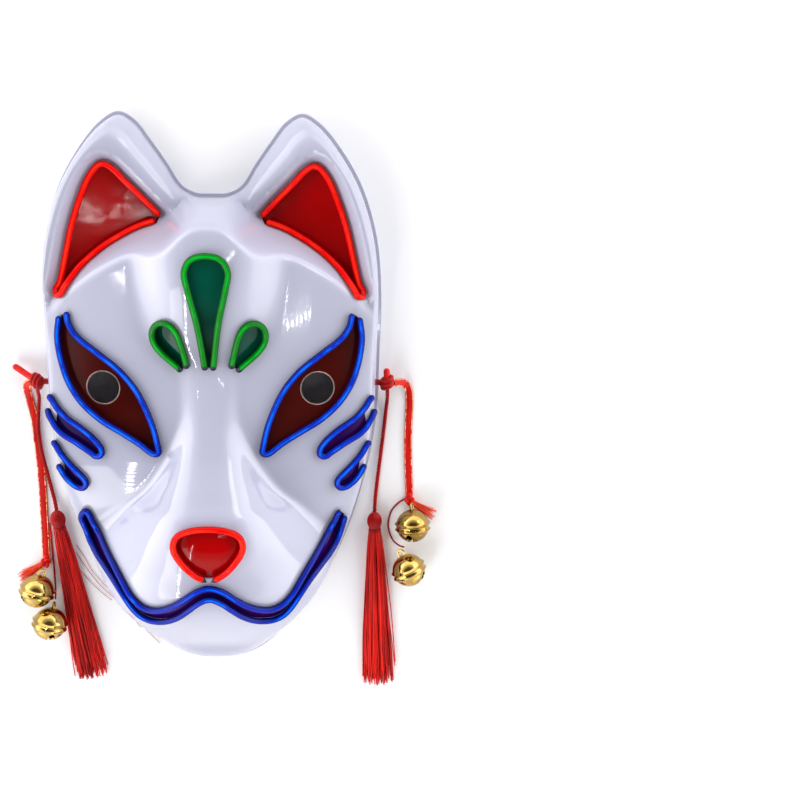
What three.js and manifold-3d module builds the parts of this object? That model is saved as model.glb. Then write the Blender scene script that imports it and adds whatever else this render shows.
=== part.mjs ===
// A white plastic fox mask with tinted windows outlined in soft glowing wire, and a ribbon with two bells and
// a tassel at each side. It lies face up on its rim. Millimetres, +Z out of the face, +Y towards the ears.
// Plan points are [x, y], with x from the middle line and y from the chin.

import * as THREE from 'three';
import Module from 'manifold-3d';
import { mergeVertices } from 'three/addons/utils/BufferGeometryUtils.js';

const wasm = await Module();
wasm.setup();

// Driving dimensions
const maskHeight = 282;
const wallThickness = 1.4;
const wireRadius = 1.6;
const windowThickness = 0.8;
const windowLap = 1.8;
const markLap = 1.2;
const narrowLap = 1;
const noseDome = 1.6;
const windowProbe = 2.2;
const clearance = 0.45;
const rimWallLeast = 6;
const faceSpacing = 10;
const windowSpacing = 12;
const loopSpacing = 8;
const markSpacing = 6;
const tieHole = { y: 150, z: 9, radius: 2.4 };
const pupil = { x: 52, y: 150.5, radius: 8.2 };

// Half of the trimmed edge and of the shoulder line inside it, from the chin up to the notch between the ears
const trimHalf = [
  [0, 0], [16, 2.5], [30, 11.5], [44, 27], [56, 45], [66, 66], [74, 90], [79.5, 113], [82.5, 136],
  [83.5, 165], [84, 195], [81.5, 222], [74, 247], [63, 266], [53, 277.5], [44.5, 282], [36.5, 278],
  [29, 268.5], [21, 257], [14.5, 247], [8, 243.4], [0, 243],
];
const shoulderHalf = [
  [0, 9], [13, 10.5], [25.5, 18], [39.5, 31.5], [52.8, 47.6], [63.8, 67.4], [71.3, 91], [75.6, 114], [77.8, 136.5],
  [78.5, 165], [79.2, 196], [76, 220.5], [69, 243.5], [61.5, 257], [55, 263.5], [49.5, 265], [43.5, 262.5],
  [37, 255.5], [28.5, 247], [18.5, 240.5], [9.5, 238.3], [0, 238],
];

// Height of the middle line and half-width of its ridge along the face: chin, lips, nose, bridge, brow, crown
const ridgeHeights = [
  [0, 1], [50, 50.5], [60, 52.5], [80, 57.8], [90, 57.6], [100, 53], [120, 42.5], [140, 35.5], [160, 33.6],
  [185, 40], [209, 45], [245, 46],
];
const ridgeWidths = [
  [0, 40], [40, 48], [60, 46], [88, 36], [100, 29], [120, 22], [140, 18], [160, 20], [178, 34], [209, 36],
  [245, 40],
];
const cheek = { jawLevel: 13, fullLevel: 31, jawY: 45, fullY: 115, sideDrop: 14, halfWidth: 83.5 };
const crown = { centreY: 130, radius: 104, level: 7, slope: 2.4, tongueReach: 13, tongueWidth: 18 };
const earPanel = { x: 51, y: 257, level: 16, outwardSlope: 0.21, upwardSlope: 0.06 };
const earBorder = { rise: 5.5, foot: 1.5, top: 6.5, lowY: 185, fullY: 205, innerX: 5, outerX: 20 };
// How softly the ridge, the crown and the ears run into the cheeks
const blend = { ridge: 6, crown: 6, ear: 3 };
// Shares of the way in from the trimmed edge to the shoulder, where the side wall has a row of points
const wallSteps = [0, 0.08, 0.3, 0.64];

// Wire paths, each from one end of the wire to the other, on the right or across the middle
const earPath = [
  [24.5, 232.3], [33, 241.3], [41, 249.6], [47, 255.8], [51.5, 257.6], [57, 251.8], [62, 240.5], [66, 228.5],
  [69.2, 215], [71.9, 203], [73.6, 196.6], [72, 193.8], [68, 199.3], [61, 208.3], [50.5, 217.5], [42.5, 222.6],
  [35, 226.6], [27.2, 229.5],
];
const eyePath = [
  [68.2, 187.4], [67.7, 182.4], [64, 176], [53.2, 167.5], [43.4, 159.7], [35.7, 150.3], [30.2, 139], [26.6, 127.5],
  [25.6, 118.2], [28.4, 119], [35, 124], [44, 129.6], [53, 135], [62, 143], [68.2, 152.5], [71.8, 163.8],
  [73.2, 174.9], [71.9, 185.2],
];
const centreDropHalf = [[1.9, 161.9], [4.9, 184], [8.8, 202], [9.9, 209.5], [7, 215.3], [0, 217.2]];
const sideDropPath = [
  [10.2, 162.6], [12.6, 173], [15.2, 180.6], [18.6, 184], [22.8, 183.9], [26, 180.6], [26.4, 175.5], [23, 169.4],
  [13.2, 160.8],
];
const nosePathHalf = [[1.9, 61.7], [6.8, 64.8], [12.9, 71.8], [16.1, 78.6], [14.4, 84.2], [8.6, 87.5], [0, 88.6]];
const cheekUpperPath = [
  [78.6, 145.6], [75, 139.8], [70, 134.6], [64.4, 131], [59, 127], [54.8, 122.8], [52.8, 118.6], [54.6, 116.2],
  [60, 119.3], [66.4, 123.3], [72.7, 126.8], [76.6, 131], [79.4, 138.2],
];
const cheekLowerPath = [
  [77.2, 122.6], [73.8, 116.6], [70, 112.1], [65.8, 107.9], [62, 103.6], [62, 100.2], [65.4, 99.6], [69.2, 101.9],
  [72.6, 105.8], [75.2, 111],
];
const mouthUpperHalf = [
  [0, 57.2], [6.5, 55.1], [12, 51.1], [19, 46.3], [25, 43.6], [29.5, 42.9], [34, 44.2], [38, 47.6], [41, 51.6],
  [44.4, 56.8], [48.5, 62.6], [54.2, 70.4], [59.4, 78.4], [63, 86.4],
];
const mouthLowerHalf = [
  [0, 51.4], [5.5, 49.2], [10.5, 44.9], [15.5, 40.3], [20.3, 37.2], [25, 35.6], [30, 35.4], [34.6, 37.3],
  [38.2, 41], [41.6, 46], [45, 50.6], [48.8, 55], [53.2, 59.4], [57.8, 64], [61.6, 69.4], [64.4, 77],
  [65.8, 83],
];

// Hanging pieces: [x, y, z] routes from the side holes, lying on the surface that the mask lies on
const tieKnot = { beadRadius: 3.3, flattening: 0.9, innerX: 77.2, waistRadius: 1.5, tagRadius: 1.7 };
const bell = {
  radius: 8.6, bandRadius: 9.2, bandHalf: 0.8, wall: 0.9, slotWidth: 1.8, slotTop: -3.3, eyeRadius: 1.9, eyeWire: 0.6,
  eyeSink: 0.5, rings: 3, sides: 8,
};
const ribbonSize = { width: 4, thickness: 0.9 };
const ribbonTail = { knotRadius: 2.3, knotLevel: 2, width: 4.2, thickness: 1.6, level: 0.9 };
const tasselCordRadius = 1;
const bellThreadRadius = 0.5;
// The tassel from its skirt to its knob: [radius, place from the knob's middle towards the cord]
const tasselSkirt = [[7.2, 0], [7.8, 1]];
const tasselNeck = [
  [6.8, -50], [5.6, -26], [4, -13], [2.7, -8], [2.5, -4.6], [3.4, -2.4], [3.7, 0.6], [2.4, 3.2], [0, 4],
];
const tasselLie = { roundFrom: -4, flatTo: -30, flatness: 0.42, knobLevel: 3.8, skirtLevel: 3.4 };
const sides = {
  left: {
    sign: -1,
    knot: [-87, 150, 9],
    tagEnd: [-99.5, 156.8, 3],
    ribbon: [
      [-90.6, 149, 8], [-92.6, 147.4, 5.4], [-93.2, 143.6, 2.2], [-92.4, 138, 0.8], [-90.6, 129, 0.6],
      [-89.6, 118, 0.6], [-88.6, 106, 0.6], [-88, 92, 0.6], [-87.8, 76, 0.6], [-87.6, 64, 0.6], [-87.5, 56, 0.6],
    ],
    tasselCord: [
      [-87.2, 145.9, 8.2], [-87.4, 143.6, 6], [-87.6, 140, 3], [-88.2, 134, 2.1], [-88.6, 124, 2.4],
      [-87.4, 112, 2.5], [-85.4, 102, 1.8], [-83.6, 93, 1.3], [-82, 86, 1.6], [-81.1, 81.6, 2.6],
    ],
    knob: [-80.3, 76.9],
    tasselEnd: [-65.6, -10.6],
    ribbonEnd: [-87.5, 53.2],
    tailEnd: [-104.5, 42.5],
    bellThread: [
      [-84.9, 74.6, 2.4], [-84.9, 70, 1.1], [-84.6, 62, 0.7], [-84, 53, 0.7], [-83.7, 46, 0.8], [-83.2, 40.6, 2.2],
      [-82.6, 37, 5.6], [-82.3, 35.6, 8.4],
    ],
    bells: [
      { centre: [-91.3, 40.2], turn: -16, spin: 40 },
      { centre: [-85.5, 22.4], turn: -14, spin: 115 },
    ],
  },
  right: {
    sign: 1,
    knot: [87, 150, 9],
    tagEnd: [86.6, 157.6, 11],
    ribbon: [
      [90.8, 149.6, 8.2], [93.4, 149.4, 6], [96, 148.4, 3], [98.2, 145.4, 1.2], [99, 139, 0.6], [98.8, 130, 0.6],
      [98.6, 118, 0.6], [98.9, 106, 0.6], [99.4, 96, 0.6], [99.7, 88.4, 0.6],
    ],
    tasselCord: [
      [87.2, 145.9, 8.2], [87.4, 143.4, 5.6], [87.4, 139.6, 2.6], [86.8, 132, 1.3], [85.6, 120, 1.3],
      [84, 106, 1.3], [82.6, 93, 1.3], [82, 86, 1.8], [81.8, 80.4, 2.8],
    ],
    knob: [81.7, 75.6],
    tasselEnd: [84.8, -16],
    ribbonEnd: [99.8, 86],
    tailEnd: [115.6, 75.4],
    bellThread: [
      [97.4, 86.8, 1.8], [94.4, 84.6, 0.8], [90.6, 80, 0.6], [89, 72, 0.6], [91.4, 64.6, 1.2], [94.8, 62.6, 5],
      [97, 62.6, 7.6],
    ],
    bells: [
      { centre: [101.2, 74.6], turn: 4, spin: 70 },
      { centre: [99.6, 50.6], turn: 24, spin: -30 },
    ],
  },
};

// Materials: colour, roughness, metalness
const finish = (color, roughness, metalness = 0) =>
  new THREE.MeshStandardMaterial({ color, roughness, metalness });
const shellWhite = finish(0xf1f1f6, 0.12);
const earRed = finish(0x8f0000, 0.18);
const lensBrown = finish(0x3a0c0a, 0.1);
const dropGreen = finish(0x04493a, 0.15);
const markViolet = finish(0x1d0e6a, 0.2);
const wireRed = finish(0xff1400, 0.35);
const wireBlue = finish(0x1350ff, 0.35);
const wireGreen = finish(0x05a02a, 0.35);
const satinRed = finish(0xb8060a, 0.55);
const brassGold = finish(0xc9a13c, 0.22, 1);

// Small mathematics
const mirrored = ([x, y]) => [-x, y];
const between = (from, to, share) => from + (to - from) * share;

function smoothStep(low, high, value) {
  const share = Math.min(1, Math.max(0, (value - low) / (high - low)));
  return share * share * (3 - 2 * share);
}

function smoothMax(a, b, reach) {
  const share = Math.min(1, Math.max(0, 0.5 + (0.5 * (a - b)) / reach));
  return between(b, a, share) + reach * share * (1 - share);
}

const smoothMin = (a, b, reach) => -smoothMax(-a, -b, reach);

// A smooth value along [place, value] stations, level at each high or low one
function stationValue(stations, place) {
  const last = stations.length - 2;
  let index = stations.findIndex((station) => station[0] > place) - 1;
  if (index < 0) index = place <= stations[0][0] ? 0 : last;
  const slopeOf = (at) => (stations[at + 1][1] - stations[at][1]) / (stations[at + 1][0] - stations[at][0]);
  const tangent = (at) => {
    if (at === 0) return slopeOf(0);
    if (at > last) return slopeOf(last);
    const before = slopeOf(at - 1);
    const after = slopeOf(at);
    return before * after <= 0 ? 0 : (2 * before * after) / (before + after);
  };
  const [startPlace, startValue] = stations[index];
  const [endPlace, endValue] = stations[index + 1];
  const length = endPlace - startPlace;
  const share = Math.min(1, Math.max(0, (place - startPlace) / length));
  const rest = 1 - share;
  return (
    startValue * rest * rest * (1 + 2 * share) +
    endValue * share * share * (3 - 2 * share) +
    tangent(index) * length * share * rest * rest -
    tangent(index + 1) * length * share * share * rest
  );
}

// Plan loops
function splineLoop(points, closed) {
  return new THREE.CatmullRomCurve3(points.map(([x, y]) => new THREE.Vector3(x, y, 0)), closed, 'centripetal');
}

function evenPoints(points, spacing) {
  const curve = splineLoop(points, false);
  const steps = Math.max(4, Math.round(curve.getLength() / spacing));
  return curve.getSpacedPoints(steps).map((point) => [point.x, point.y]);
}

const mirroredLoop = (half) => [...half, ...half.slice(1, -1).reverse().map(mirrored)];

// From the foot of the right half over its top, which lies on the middle line, to the foot of the left one
const outlinePath = (half) => [...half, ...half.slice(0, -1).reverse().map(mirrored)];

const planDistance = (a, b) => Math.hypot(a[0] - b[0], a[1] - b[1]);

function distanceToLoop(point, loop) {
  let nearest = Infinity;
  loop.forEach((start, index) => {
    const end = loop[(index + 1) % loop.length];
    const run = [end[0] - start[0], end[1] - start[1]];
    const size = run[0] ** 2 + run[1] ** 2;
    const along = ((point[0] - start[0]) * run[0] + (point[1] - start[1]) * run[1]) / size;
    const share = Math.min(1, Math.max(0, along));
    nearest = Math.min(nearest, planDistance(point, [start[0] + share * run[0], start[1] + share * run[1]]));
  });
  return nearest;
}

function isInside(point, loop) {
  let inside = false;
  loop.forEach((start, index) => {
    const end = loop[(index + 1) % loop.length];
    if (start[1] > point[1] === end[1] > point[1]) return;
    const crossing = start[0] + ((end[0] - start[0]) * (point[1] - start[1])) / (end[1] - start[1]);
    if (point[0] < crossing) inside = !inside;
  });
  return inside;
}

// Height of the outer surface inside the shoulder line
function faceHeight(x, y) {
  const side = Math.abs(x);
  const cheekLevel = between(cheek.jawLevel, cheek.fullLevel, smoothStep(cheek.jawY, cheek.fullY, y));
  const cheekHeight = cheekLevel - cheek.sideDrop * (side / cheek.halfWidth) ** 2.8;
  const ridge = stationValue(ridgeHeights, y) * Math.exp(-0.5 * (side / stationValue(ridgeWidths, y)) ** 3);
  const crownDistance = Math.hypot(side, Math.max(0, y - crown.centreY));
  const tongue = crown.tongueReach * Math.exp(-((side / crown.tongueWidth) ** 3));
  const crownHeight = crown.level + crown.slope * (crown.radius + tongue - crownDistance);
  const face = smoothMin(smoothMax(cheekHeight, ridge, blend.ridge), crownHeight, blend.crown);
  const outsideWindow = isInside([side, y], earPath) ? 0 : distanceToLoop([side, y], earPath);
  const panel =
    earPanel.level + earPanel.outwardSlope * (side - earPanel.x) + earPanel.upwardSlope * (y - earPanel.y);
  const step = smoothStep(earBorder.foot, earBorder.top, outsideWindow);
  const border = earBorder.rise * smoothStep(earBorder.lowY, earBorder.fullY, y) * step;
  const ear = (panel + border) * smoothStep(earBorder.innerX, earBorder.outerX, side);
  return Math.max(rimWallLeast, smoothMax(face, ear, blend.ear));
}

// The side wall rises from the trimmed edge to the shoulder as a quarter of an ellipse
const wallShare = (share) => Math.sqrt(1 - (1 - share) ** 2);

function faceNormal(x, y) {
  const step = 0.5;
  const slopeX = (faceHeight(x + step, y) - faceHeight(x - step, y)) / (2 * step);
  const slopeY = (faceHeight(x, y + step) - faceHeight(x, y - step)) / (2 * step);
  return new THREE.Vector3(-slopeX, -slopeY, 1).normalize();
}

// Triangles over a plan with holes: each point is added in turn, and the triangles whose circle holds it are
// replaced by a fan around it
function circledTriangle(points, a, b, c) {
  const [ax, ay] = points[a];
  const [bx, by] = [points[b][0] - ax, points[b][1] - ay];
  const [cx, cy] = [points[c][0] - ax, points[c][1] - ay];
  const twice = 2 * (bx * cy - by * cx);
  const ux = (cy * (bx * bx + by * by) - by * (cx * cx + cy * cy)) / twice;
  const uy = (bx * (cx * cx + cy * cy) - cx * (bx * bx + by * by)) / twice;
  return { corners: [a, b, c], centre: [ax + ux, ay + uy], radius: Math.hypot(ux, uy) };
}

function triangulate(points) {
  const reach = 4000;
  const hair = 0.004;
  // Points on one circle have no single answer, so each is moved by a hair before the circles are compared
  const nudged = points.map(([x, y], index) => [x + hair * Math.sin(37 * index), y + hair * Math.cos(53 * index)]);
  const all = [...nudged, [-reach, -reach], [reach, -reach], [0, reach]];
  const count = points.length;
  let triangles = [circledTriangle(all, count, count + 1, count + 2)];
  nudged.forEach((point, index) => {
    const open = new Map();
    triangles = triangles.filter((triangle) => {
      if (planDistance(triangle.centre, point) > triangle.radius) return true;
      triangle.corners.forEach((from, corner) => {
        const to = triangle.corners[(corner + 1) % 3];
        if (!open.delete(`${to}_${from}`)) open.set(`${from}_${to}`, [from, to]);
      });
      return false;
    });
    open.forEach(([from, to]) => triangles.push(circledTriangle(all, from, to, index)));
  });
  return triangles.map((triangle) => triangle.corners).filter((corners) => corners.every((at) => at < count));
}

function latticePoints(outline, holes, spacing) {
  const xs = outline.map((point) => point[0]);
  const ys = outline.map((point) => point[1]);
  const rowStep = (spacing * Math.sqrt(3)) / 2;
  const points = [];
  const rows = Math.ceil((Math.max(...ys) - Math.min(...ys)) / rowStep);
  const columns = Math.ceil(Math.max(...xs.map(Math.abs)) / spacing) + 1;
  for (let row = 0; row <= rows; row += 1) {
    const y = Math.min(...ys) + row * rowStep;
    for (let column = -columns; column <= columns; column += 1) {
      const point = [(column + (row % 2) / 2) * spacing, y];
      const clear = [outline, ...holes].every((loop) => distanceToLoop(point, loop) > 0.6 * spacing);
      if (clear && isInside(point, outline) && !holes.some((hole) => isInside(point, hole))) points.push(point);
    }
  }
  return points;
}

// A plan mesh whose edges follow every loop: a loop edge that the triangles miss is split at its middle
function planMesh(outline, holes, spacing) {
  const loops = [outline, ...holes].map((loop) => [...loop]);
  const inner = latticePoints(outline, holes, spacing);
  for (let round = 0; round < 10; round += 1) {
    const points = [...loops.flat(), ...inner];
    const triangles = triangulate(points);
    const edges = new Set(triangles.flatMap(([a, b, c]) => [`${a}_${b}`, `${b}_${c}`, `${c}_${a}`]));
    let start = 0;
    let missing = 0;
    loops.forEach((loop) => {
      const count = loop.length;
      for (let index = count - 1; index >= 0; index -= 1) {
        const from = start + index;
        const to = start + ((index + 1) % count);
        if (edges.has(`${from}_${to}`) || edges.has(`${to}_${from}`)) continue;
        const next = loop[(index + 1) % count];
        loop.splice(index + 1, 0, [(loop[index][0] + next[0]) / 2, (loop[index][1] + next[1]) / 2]);
        missing += 1;
      }
      start += count;
    });
    if (missing > 0) continue;
    const kept = triangles.filter((corners) => {
      const centre = [0, 1].map((axis) => corners.reduce((sum, at) => sum + points[at][axis], 0) / 3);
      return isInside(centre, loops[0]) && !loops.slice(1).some((hole) => isInside(centre, hole));
    });
    return { points, triangles: kept, outlineCount: loops[0].length };
  }
  throw new Error('two loops cross');
}

// A closed solid between an upper and a lower skin that share their triangles
function skinSolid(upper, lower, triangles) {
  const count = upper.length;
  const faces = [];
  const open = new Map();
  triangles.forEach(([a, b, c]) => {
    faces.push(a, b, c, count + a, count + c, count + b);
    [[a, b], [b, c], [c, a]].forEach(([from, to]) => {
      if (!open.delete(`${to}_${from}`)) open.set(`${from}_${to}`, [from, to]);
    });
  });
  open.forEach(([from, to]) => faces.push(to, from, count + from, to, count + from, count + to));
  const geometry = new THREE.BufferGeometry().setFromPoints([...upper, ...lower]);
  geometry.setIndex(faces);
  return geometry;
}

// Solids that are joined and cut
function solidOf(geometry) {
  const bare = geometry.clone();
  bare.deleteAttribute('normal');
  bare.deleteAttribute('uv');
  const merged = mergeVertices(bare, 1e-4);
  return new wasm.Manifold(
    new wasm.Mesh({
      numProp: 3,
      vertProperties: new Float32Array(merged.attributes.position.array),
      triVerts: new Uint32Array(merged.index.array),
    }),
  );
}

function geometryOf(solid) {
  const { vertProperties, triVerts } = solid.getMesh();
  const geometry = new THREE.BufferGeometry();
  geometry.setAttribute('position', new THREE.BufferAttribute(new Float32Array(vertProperties), 3));
  geometry.setIndex(new THREE.BufferAttribute(new Uint32Array(triVerts), 1));
  return geometry;
}

// The shell
const mouthPath = [
  ...mouthUpperHalf.slice(1).reverse(),
  ...mouthUpperHalf.map(mirrored),
  ...mouthLowerHalf.slice(1).reverse().map(mirrored),
  ...mouthLowerHalf,
];
// The end points of the cheek wires lie outside their windows, on the side wall
const openings = {
  ear_left: evenPoints(earPath.map(mirrored), loopSpacing),
  ear_right: evenPoints(earPath, loopSpacing),
  eye_left: evenPoints(eyePath.map(mirrored), loopSpacing),
  eye_right: evenPoints(eyePath, loopSpacing),
  forehead_centre: evenPoints(outlinePath(centreDropHalf), markSpacing),
  forehead_left: evenPoints(sideDropPath.map(mirrored), markSpacing),
  forehead_right: evenPoints(sideDropPath, markSpacing),
  nose: evenPoints(outlinePath(nosePathHalf), markSpacing),
  cheek_upper_left: evenPoints(cheekUpperPath.slice(1, -1).map(mirrored), markSpacing),
  cheek_upper_right: evenPoints(cheekUpperPath.slice(1, -1), markSpacing),
  cheek_lower_left: evenPoints(cheekLowerPath.slice(1, -1).map(mirrored), markSpacing),
  cheek_lower_right: evenPoints(cheekLowerPath.slice(1, -1), markSpacing),
  mouth: evenPoints(mouthPath, loopSpacing),
};

function makeShell() {
  const samples = 2 * mirroredLoop(trimHalf).length;
  const sample = (half) =>
    splineLoop(mirroredLoop(half), true).getPoints(samples).slice(0, -1).map((point) => [point.x, point.y]);
  const trim = sample(trimHalf);
  const shoulder = sample(shoulderHalf);
  const inside = planMesh(shoulder, Object.values(openings), faceSpacing);
  const count = inside.outlineCount;
  if (count !== samples) throw new Error('the shoulder line was split');
  const upper = inside.points.map(([x, y]) => new THREE.Vector3(x, y, faceHeight(x, y)));
  const rings = wallSteps.map((share) =>
    trim.map((edge, index) => {
      const x = between(edge[0], shoulder[index][0], share);
      const y = between(edge[1], shoulder[index][1], share);
      upper.push(new THREE.Vector3(x, y, faceHeight(x, y) * wallShare(share)));
      return upper.length - 1;
    }),
  );
  rings.push(shoulder.map((point, index) => index));
  const triangles = [...inside.triangles];
  for (let ring = 0; ring + 1 < rings.length; ring += 1) {
    rings[ring].forEach((from, index) => {
      const next = (index + 1) % samples;
      triangles.push([from, rings[ring][next], rings[ring + 1][next]]);
      triangles.push([from, rings[ring + 1][next], rings[ring + 1][index]]);
    });
  }
  const skin = new THREE.BufferGeometry().setFromPoints(upper);
  skin.setIndex(triangles.flat());
  skin.computeVertexNormals();
  const normals = skin.attributes.normal;
  const lower = upper.map((point, index) => {
    const inward = new THREE.Vector3().fromBufferAttribute(normals, index).multiplyScalar(-wallThickness);
    const moved = point.clone().add(inward);
    moved.z = Math.max(0, moved.z);
    return moved;
  });
  rings[0].forEach((at, index) => {
    const run = [shoulder[index][0] - trim[index][0], shoulder[index][1] - trim[index][1]];
    const share = wallThickness / Math.hypot(...run);
    lower[at].set(trim[index][0] + run[0] * share, trim[index][1] + run[1] * share, 0);
  });
  const drill = new THREE.CylinderGeometry(tieHole.radius, tieHole.radius, maskHeight, 10);
  drill.rotateZ(Math.PI / 2).translate(0, tieHole.y, tieHole.z);
  return geometryOf(solidOf(skinSolid(upper, lower, triangles)).subtract(solidOf(drill)));
}

const shellGeometry = makeShell();

// Where a vertical line through a plan point meets the finished shell, from above or from below
const shellProbe = new THREE.Mesh(shellGeometry, new THREE.MeshBasicMaterial({ side: THREE.DoubleSide }));
shellGeometry.computeBoundingSphere();

function meetShell(x, y, fromAbove) {
  const start = new THREE.Vector3(x, y, fromAbove ? 200 : -200);
  const caster = new THREE.Raycaster(start, new THREE.Vector3(0, 0, fromAbove ? -1 : 1));
  return caster.intersectObject(shellProbe)[0] ?? null;
}

// A tube or a flat band along a route. The section's x stays level, so that a band lies flat
function sweptSection(route, section, steps) {
  const path = new THREE.CatmullRomCurve3(route, false, 'centripetal');
  path.computeFrenetFrames = (segments) => {
    const shares = Array.from({ length: segments + 1 }, (unused, index) => index / segments);
    const tangents = shares.map((share) => path.getTangentAt(share));
    const normals = tangents.map((tangent) => new THREE.Vector3(-tangent.y, tangent.x, 0).normalize());
    const binormals = tangents.map((tangent, index) => tangent.clone().cross(normals[index]));
    return { tangents, normals, binormals };
  };
  return new THREE.ExtrudeGeometry(section, { steps, bevelEnabled: false, extrudePath: path });
}

function roundSection(radius, count) {
  const corners = [];
  for (let corner = 0; corner < count; corner += 1) {
    const angle = (2 * Math.PI * (corner + 0.5)) / count;
    corners.push(new THREE.Vector2(radius * Math.cos(angle), radius * Math.sin(angle)));
  }
  return new THREE.Shape(corners);
}

function wireGeometry(path) {
  const lift = wireRadius + clearance;
  const route = path.map(([x, y]) => {
    const hit = meetShell(x, y, true);
    const face = new THREE.Vector3(x, y, faceHeight(x, y)).addScaledVector(faceNormal(x, y), lift);
    if (!hit || isInside([Math.abs(x), y], shoulderHalf)) return face;
    return hit.point.clone().addScaledVector(hit.face.normal, lift);
  });
  return sweptSection(route, roundSection(wireRadius, 6), path.length - 1);
}

// A window is lapped behind the edge of its opening
function grownLoop(loop, by) {
  const turning = loop.reduce((sum, point, index) => {
    const next = loop[(index + 1) % loop.length];
    return sum + point[0] * next[1] - next[0] * point[1];
  }, 0);
  return loop.map((point, index) => {
    const before = loop[(index + loop.length - 1) % loop.length];
    const after = loop[(index + 1) % loop.length];
    const along = [after[0] - before[0], after[1] - before[1]];
    const size = (Math.sign(turning) * by) / Math.hypot(...along);
    return [point[0] + along[1] * size, point[1] - along[0] * size];
  });
}

function windowGeometry(opening, { lap = windowLap, holes = [], dome = 0 } = {}) {
  const plan = planMesh(grownLoop(opening, lap), holes, windowSpacing);
  const centre = [0, 1].map((axis) => opening.reduce((sum, point) => sum + point[axis], 0) / opening.length);
  const reach = Math.max(...opening.map((point) => planDistance(point, centre)));
  const drop = wallThickness + 2 * clearance;
  // As high as the back of the shell allows all round the point
  const upper = plan.points.map(([x, y]) => {
    const around = [0, 1, 2, 3, 4, 5].map((turn) => [
      x + windowProbe * Math.cos((turn * Math.PI) / 3),
      y + windowProbe * Math.sin((turn * Math.PI) / 3),
    ]);
    const heights = [[x, y], ...around].map(([px, py]) => {
      const hit = meetShell(px, py, false);
      return hit ? hit.point.z - 2 * clearance : faceHeight(px, py) - drop / faceNormal(px, py).z;
    });
    const bulge = dome * Math.max(0, 1 - (planDistance([x, y], centre) / reach) ** 2);
    return new THREE.Vector3(x, y, Math.min(...heights) + bulge);
  });
  const lower = upper.map((point) => new THREE.Vector3(point.x, point.y, point.z - windowThickness));
  return skinSolid(upper, lower, plan.triangles);
}

function pupilLoop(sign) {
  const count = 14;
  return Array.from({ length: count }, (unused, index) => {
    const angle = (2 * Math.PI * index) / count;
    return [sign * pupil.x + pupil.radius * Math.cos(angle), pupil.y + pupil.radius * Math.sin(angle)];
  });
}

// The knot is a waist in the side hole between a bead inside and a bead outside, with a short tag end
function knotGeometry(side) {
  const { beadRadius, flattening, innerX, waistRadius, tagRadius } = tieKnot;
  const [knotX, knotY, knotZ] = side.knot;
  const bead = new THREE.SphereGeometry(beadRadius, 7, 5).scale(flattening, 1, 1);
  const outer = solidOf(bead.clone().translate(knotX, knotY, knotZ));
  const inner = solidOf(bead.clone().translate(side.sign * innerX, knotY, knotZ));
  const waist = new THREE.CylinderGeometry(waistRadius, waistRadius, Math.abs(knotX) - innerX, 8);
  waist.rotateZ(Math.PI / 2).translate((knotX + side.sign * innerX) / 2, knotY, knotZ);
  const start = new THREE.Vector3(...side.knot);
  const end = new THREE.Vector3(...side.tagEnd);
  const tag = sweptSection([start, start.clone().lerp(end, 0.5), end], roundSection(tagRadius, 8), 3);
  return geometryOf(outer.add(inner).add(solidOf(waist)).add(solidOf(tag)));
}

function flatSection(width, thickness) {
  const outline = new THREE.Shape();
  outline.absellipse(0, 0, width / 2, thickness / 2, 0, 2 * Math.PI);
  return new THREE.Shape(outline.getPoints(2).slice(0, -1));
}

function ribbonGeometry(side) {
  const route = side.ribbon.map((point) => new THREE.Vector3(...point));
  return sweptSection(route, flatSection(ribbonSize.width, ribbonSize.thickness), 14);
}

function cordGeometry(route, radius, steps) {
  return sweptSection(route.map((point) => new THREE.Vector3(...point)), roundSection(radius, 8), steps);
}

// The tassel is a knob, a bound neck and a skirt of threads that lies flattened
function tasselGeometry(side) {
  const [knobX, knobY] = side.knob;
  const length = planDistance(side.knob, side.tasselEnd);
  const skirt = tasselSkirt.map(([radius, place]) => [radius, place - length]);
  const profile = [[0, -length], ...skirt, ...tasselNeck];
  const geometry = new THREE.LatheGeometry(profile.map(([radius, y]) => new THREE.Vector2(radius, y)), 10);
  const position = geometry.attributes.position;
  const { roundFrom, flatTo, flatness, knobLevel, skirtLevel } = tasselLie;
  for (let index = 0; index < position.count; index += 1) {
    const along = smoothStep(roundFrom, flatTo, position.getY(index));
    const level = between(knobLevel, skirtLevel, along);
    position.setZ(index, position.getZ(index) * between(1, flatness, along) + level);
  }
  const lean = Math.atan2(side.tasselEnd[0] - knobX, knobY - side.tasselEnd[1]);
  return geometryOf(solidOf(geometry.rotateZ(lean).translate(knobX, knobY, 0)));
}

// The ribbon's end is a knot with a frayed tail
function ribbonTailGeometry(side) {
  const { knotRadius, knotLevel, width, thickness, level } = ribbonTail;
  const [knotX, knotY] = side.ribbonEnd;
  const knot = new THREE.SphereGeometry(knotRadius, 8, 6).scale(1, 0.9, 0.8).translate(knotX, knotY, knotLevel);
  const end = new THREE.Vector3(...side.tailEnd, level);
  const start = new THREE.Vector3(knotX, knotY, (level + knotLevel) / 2);
  const tail = sweptSection([start, start.clone().lerp(end, 0.4), end], flatSection(width, thickness), 5);
  return geometryOf(solidOf(knot).add(solidOf(tail)));
}

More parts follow.
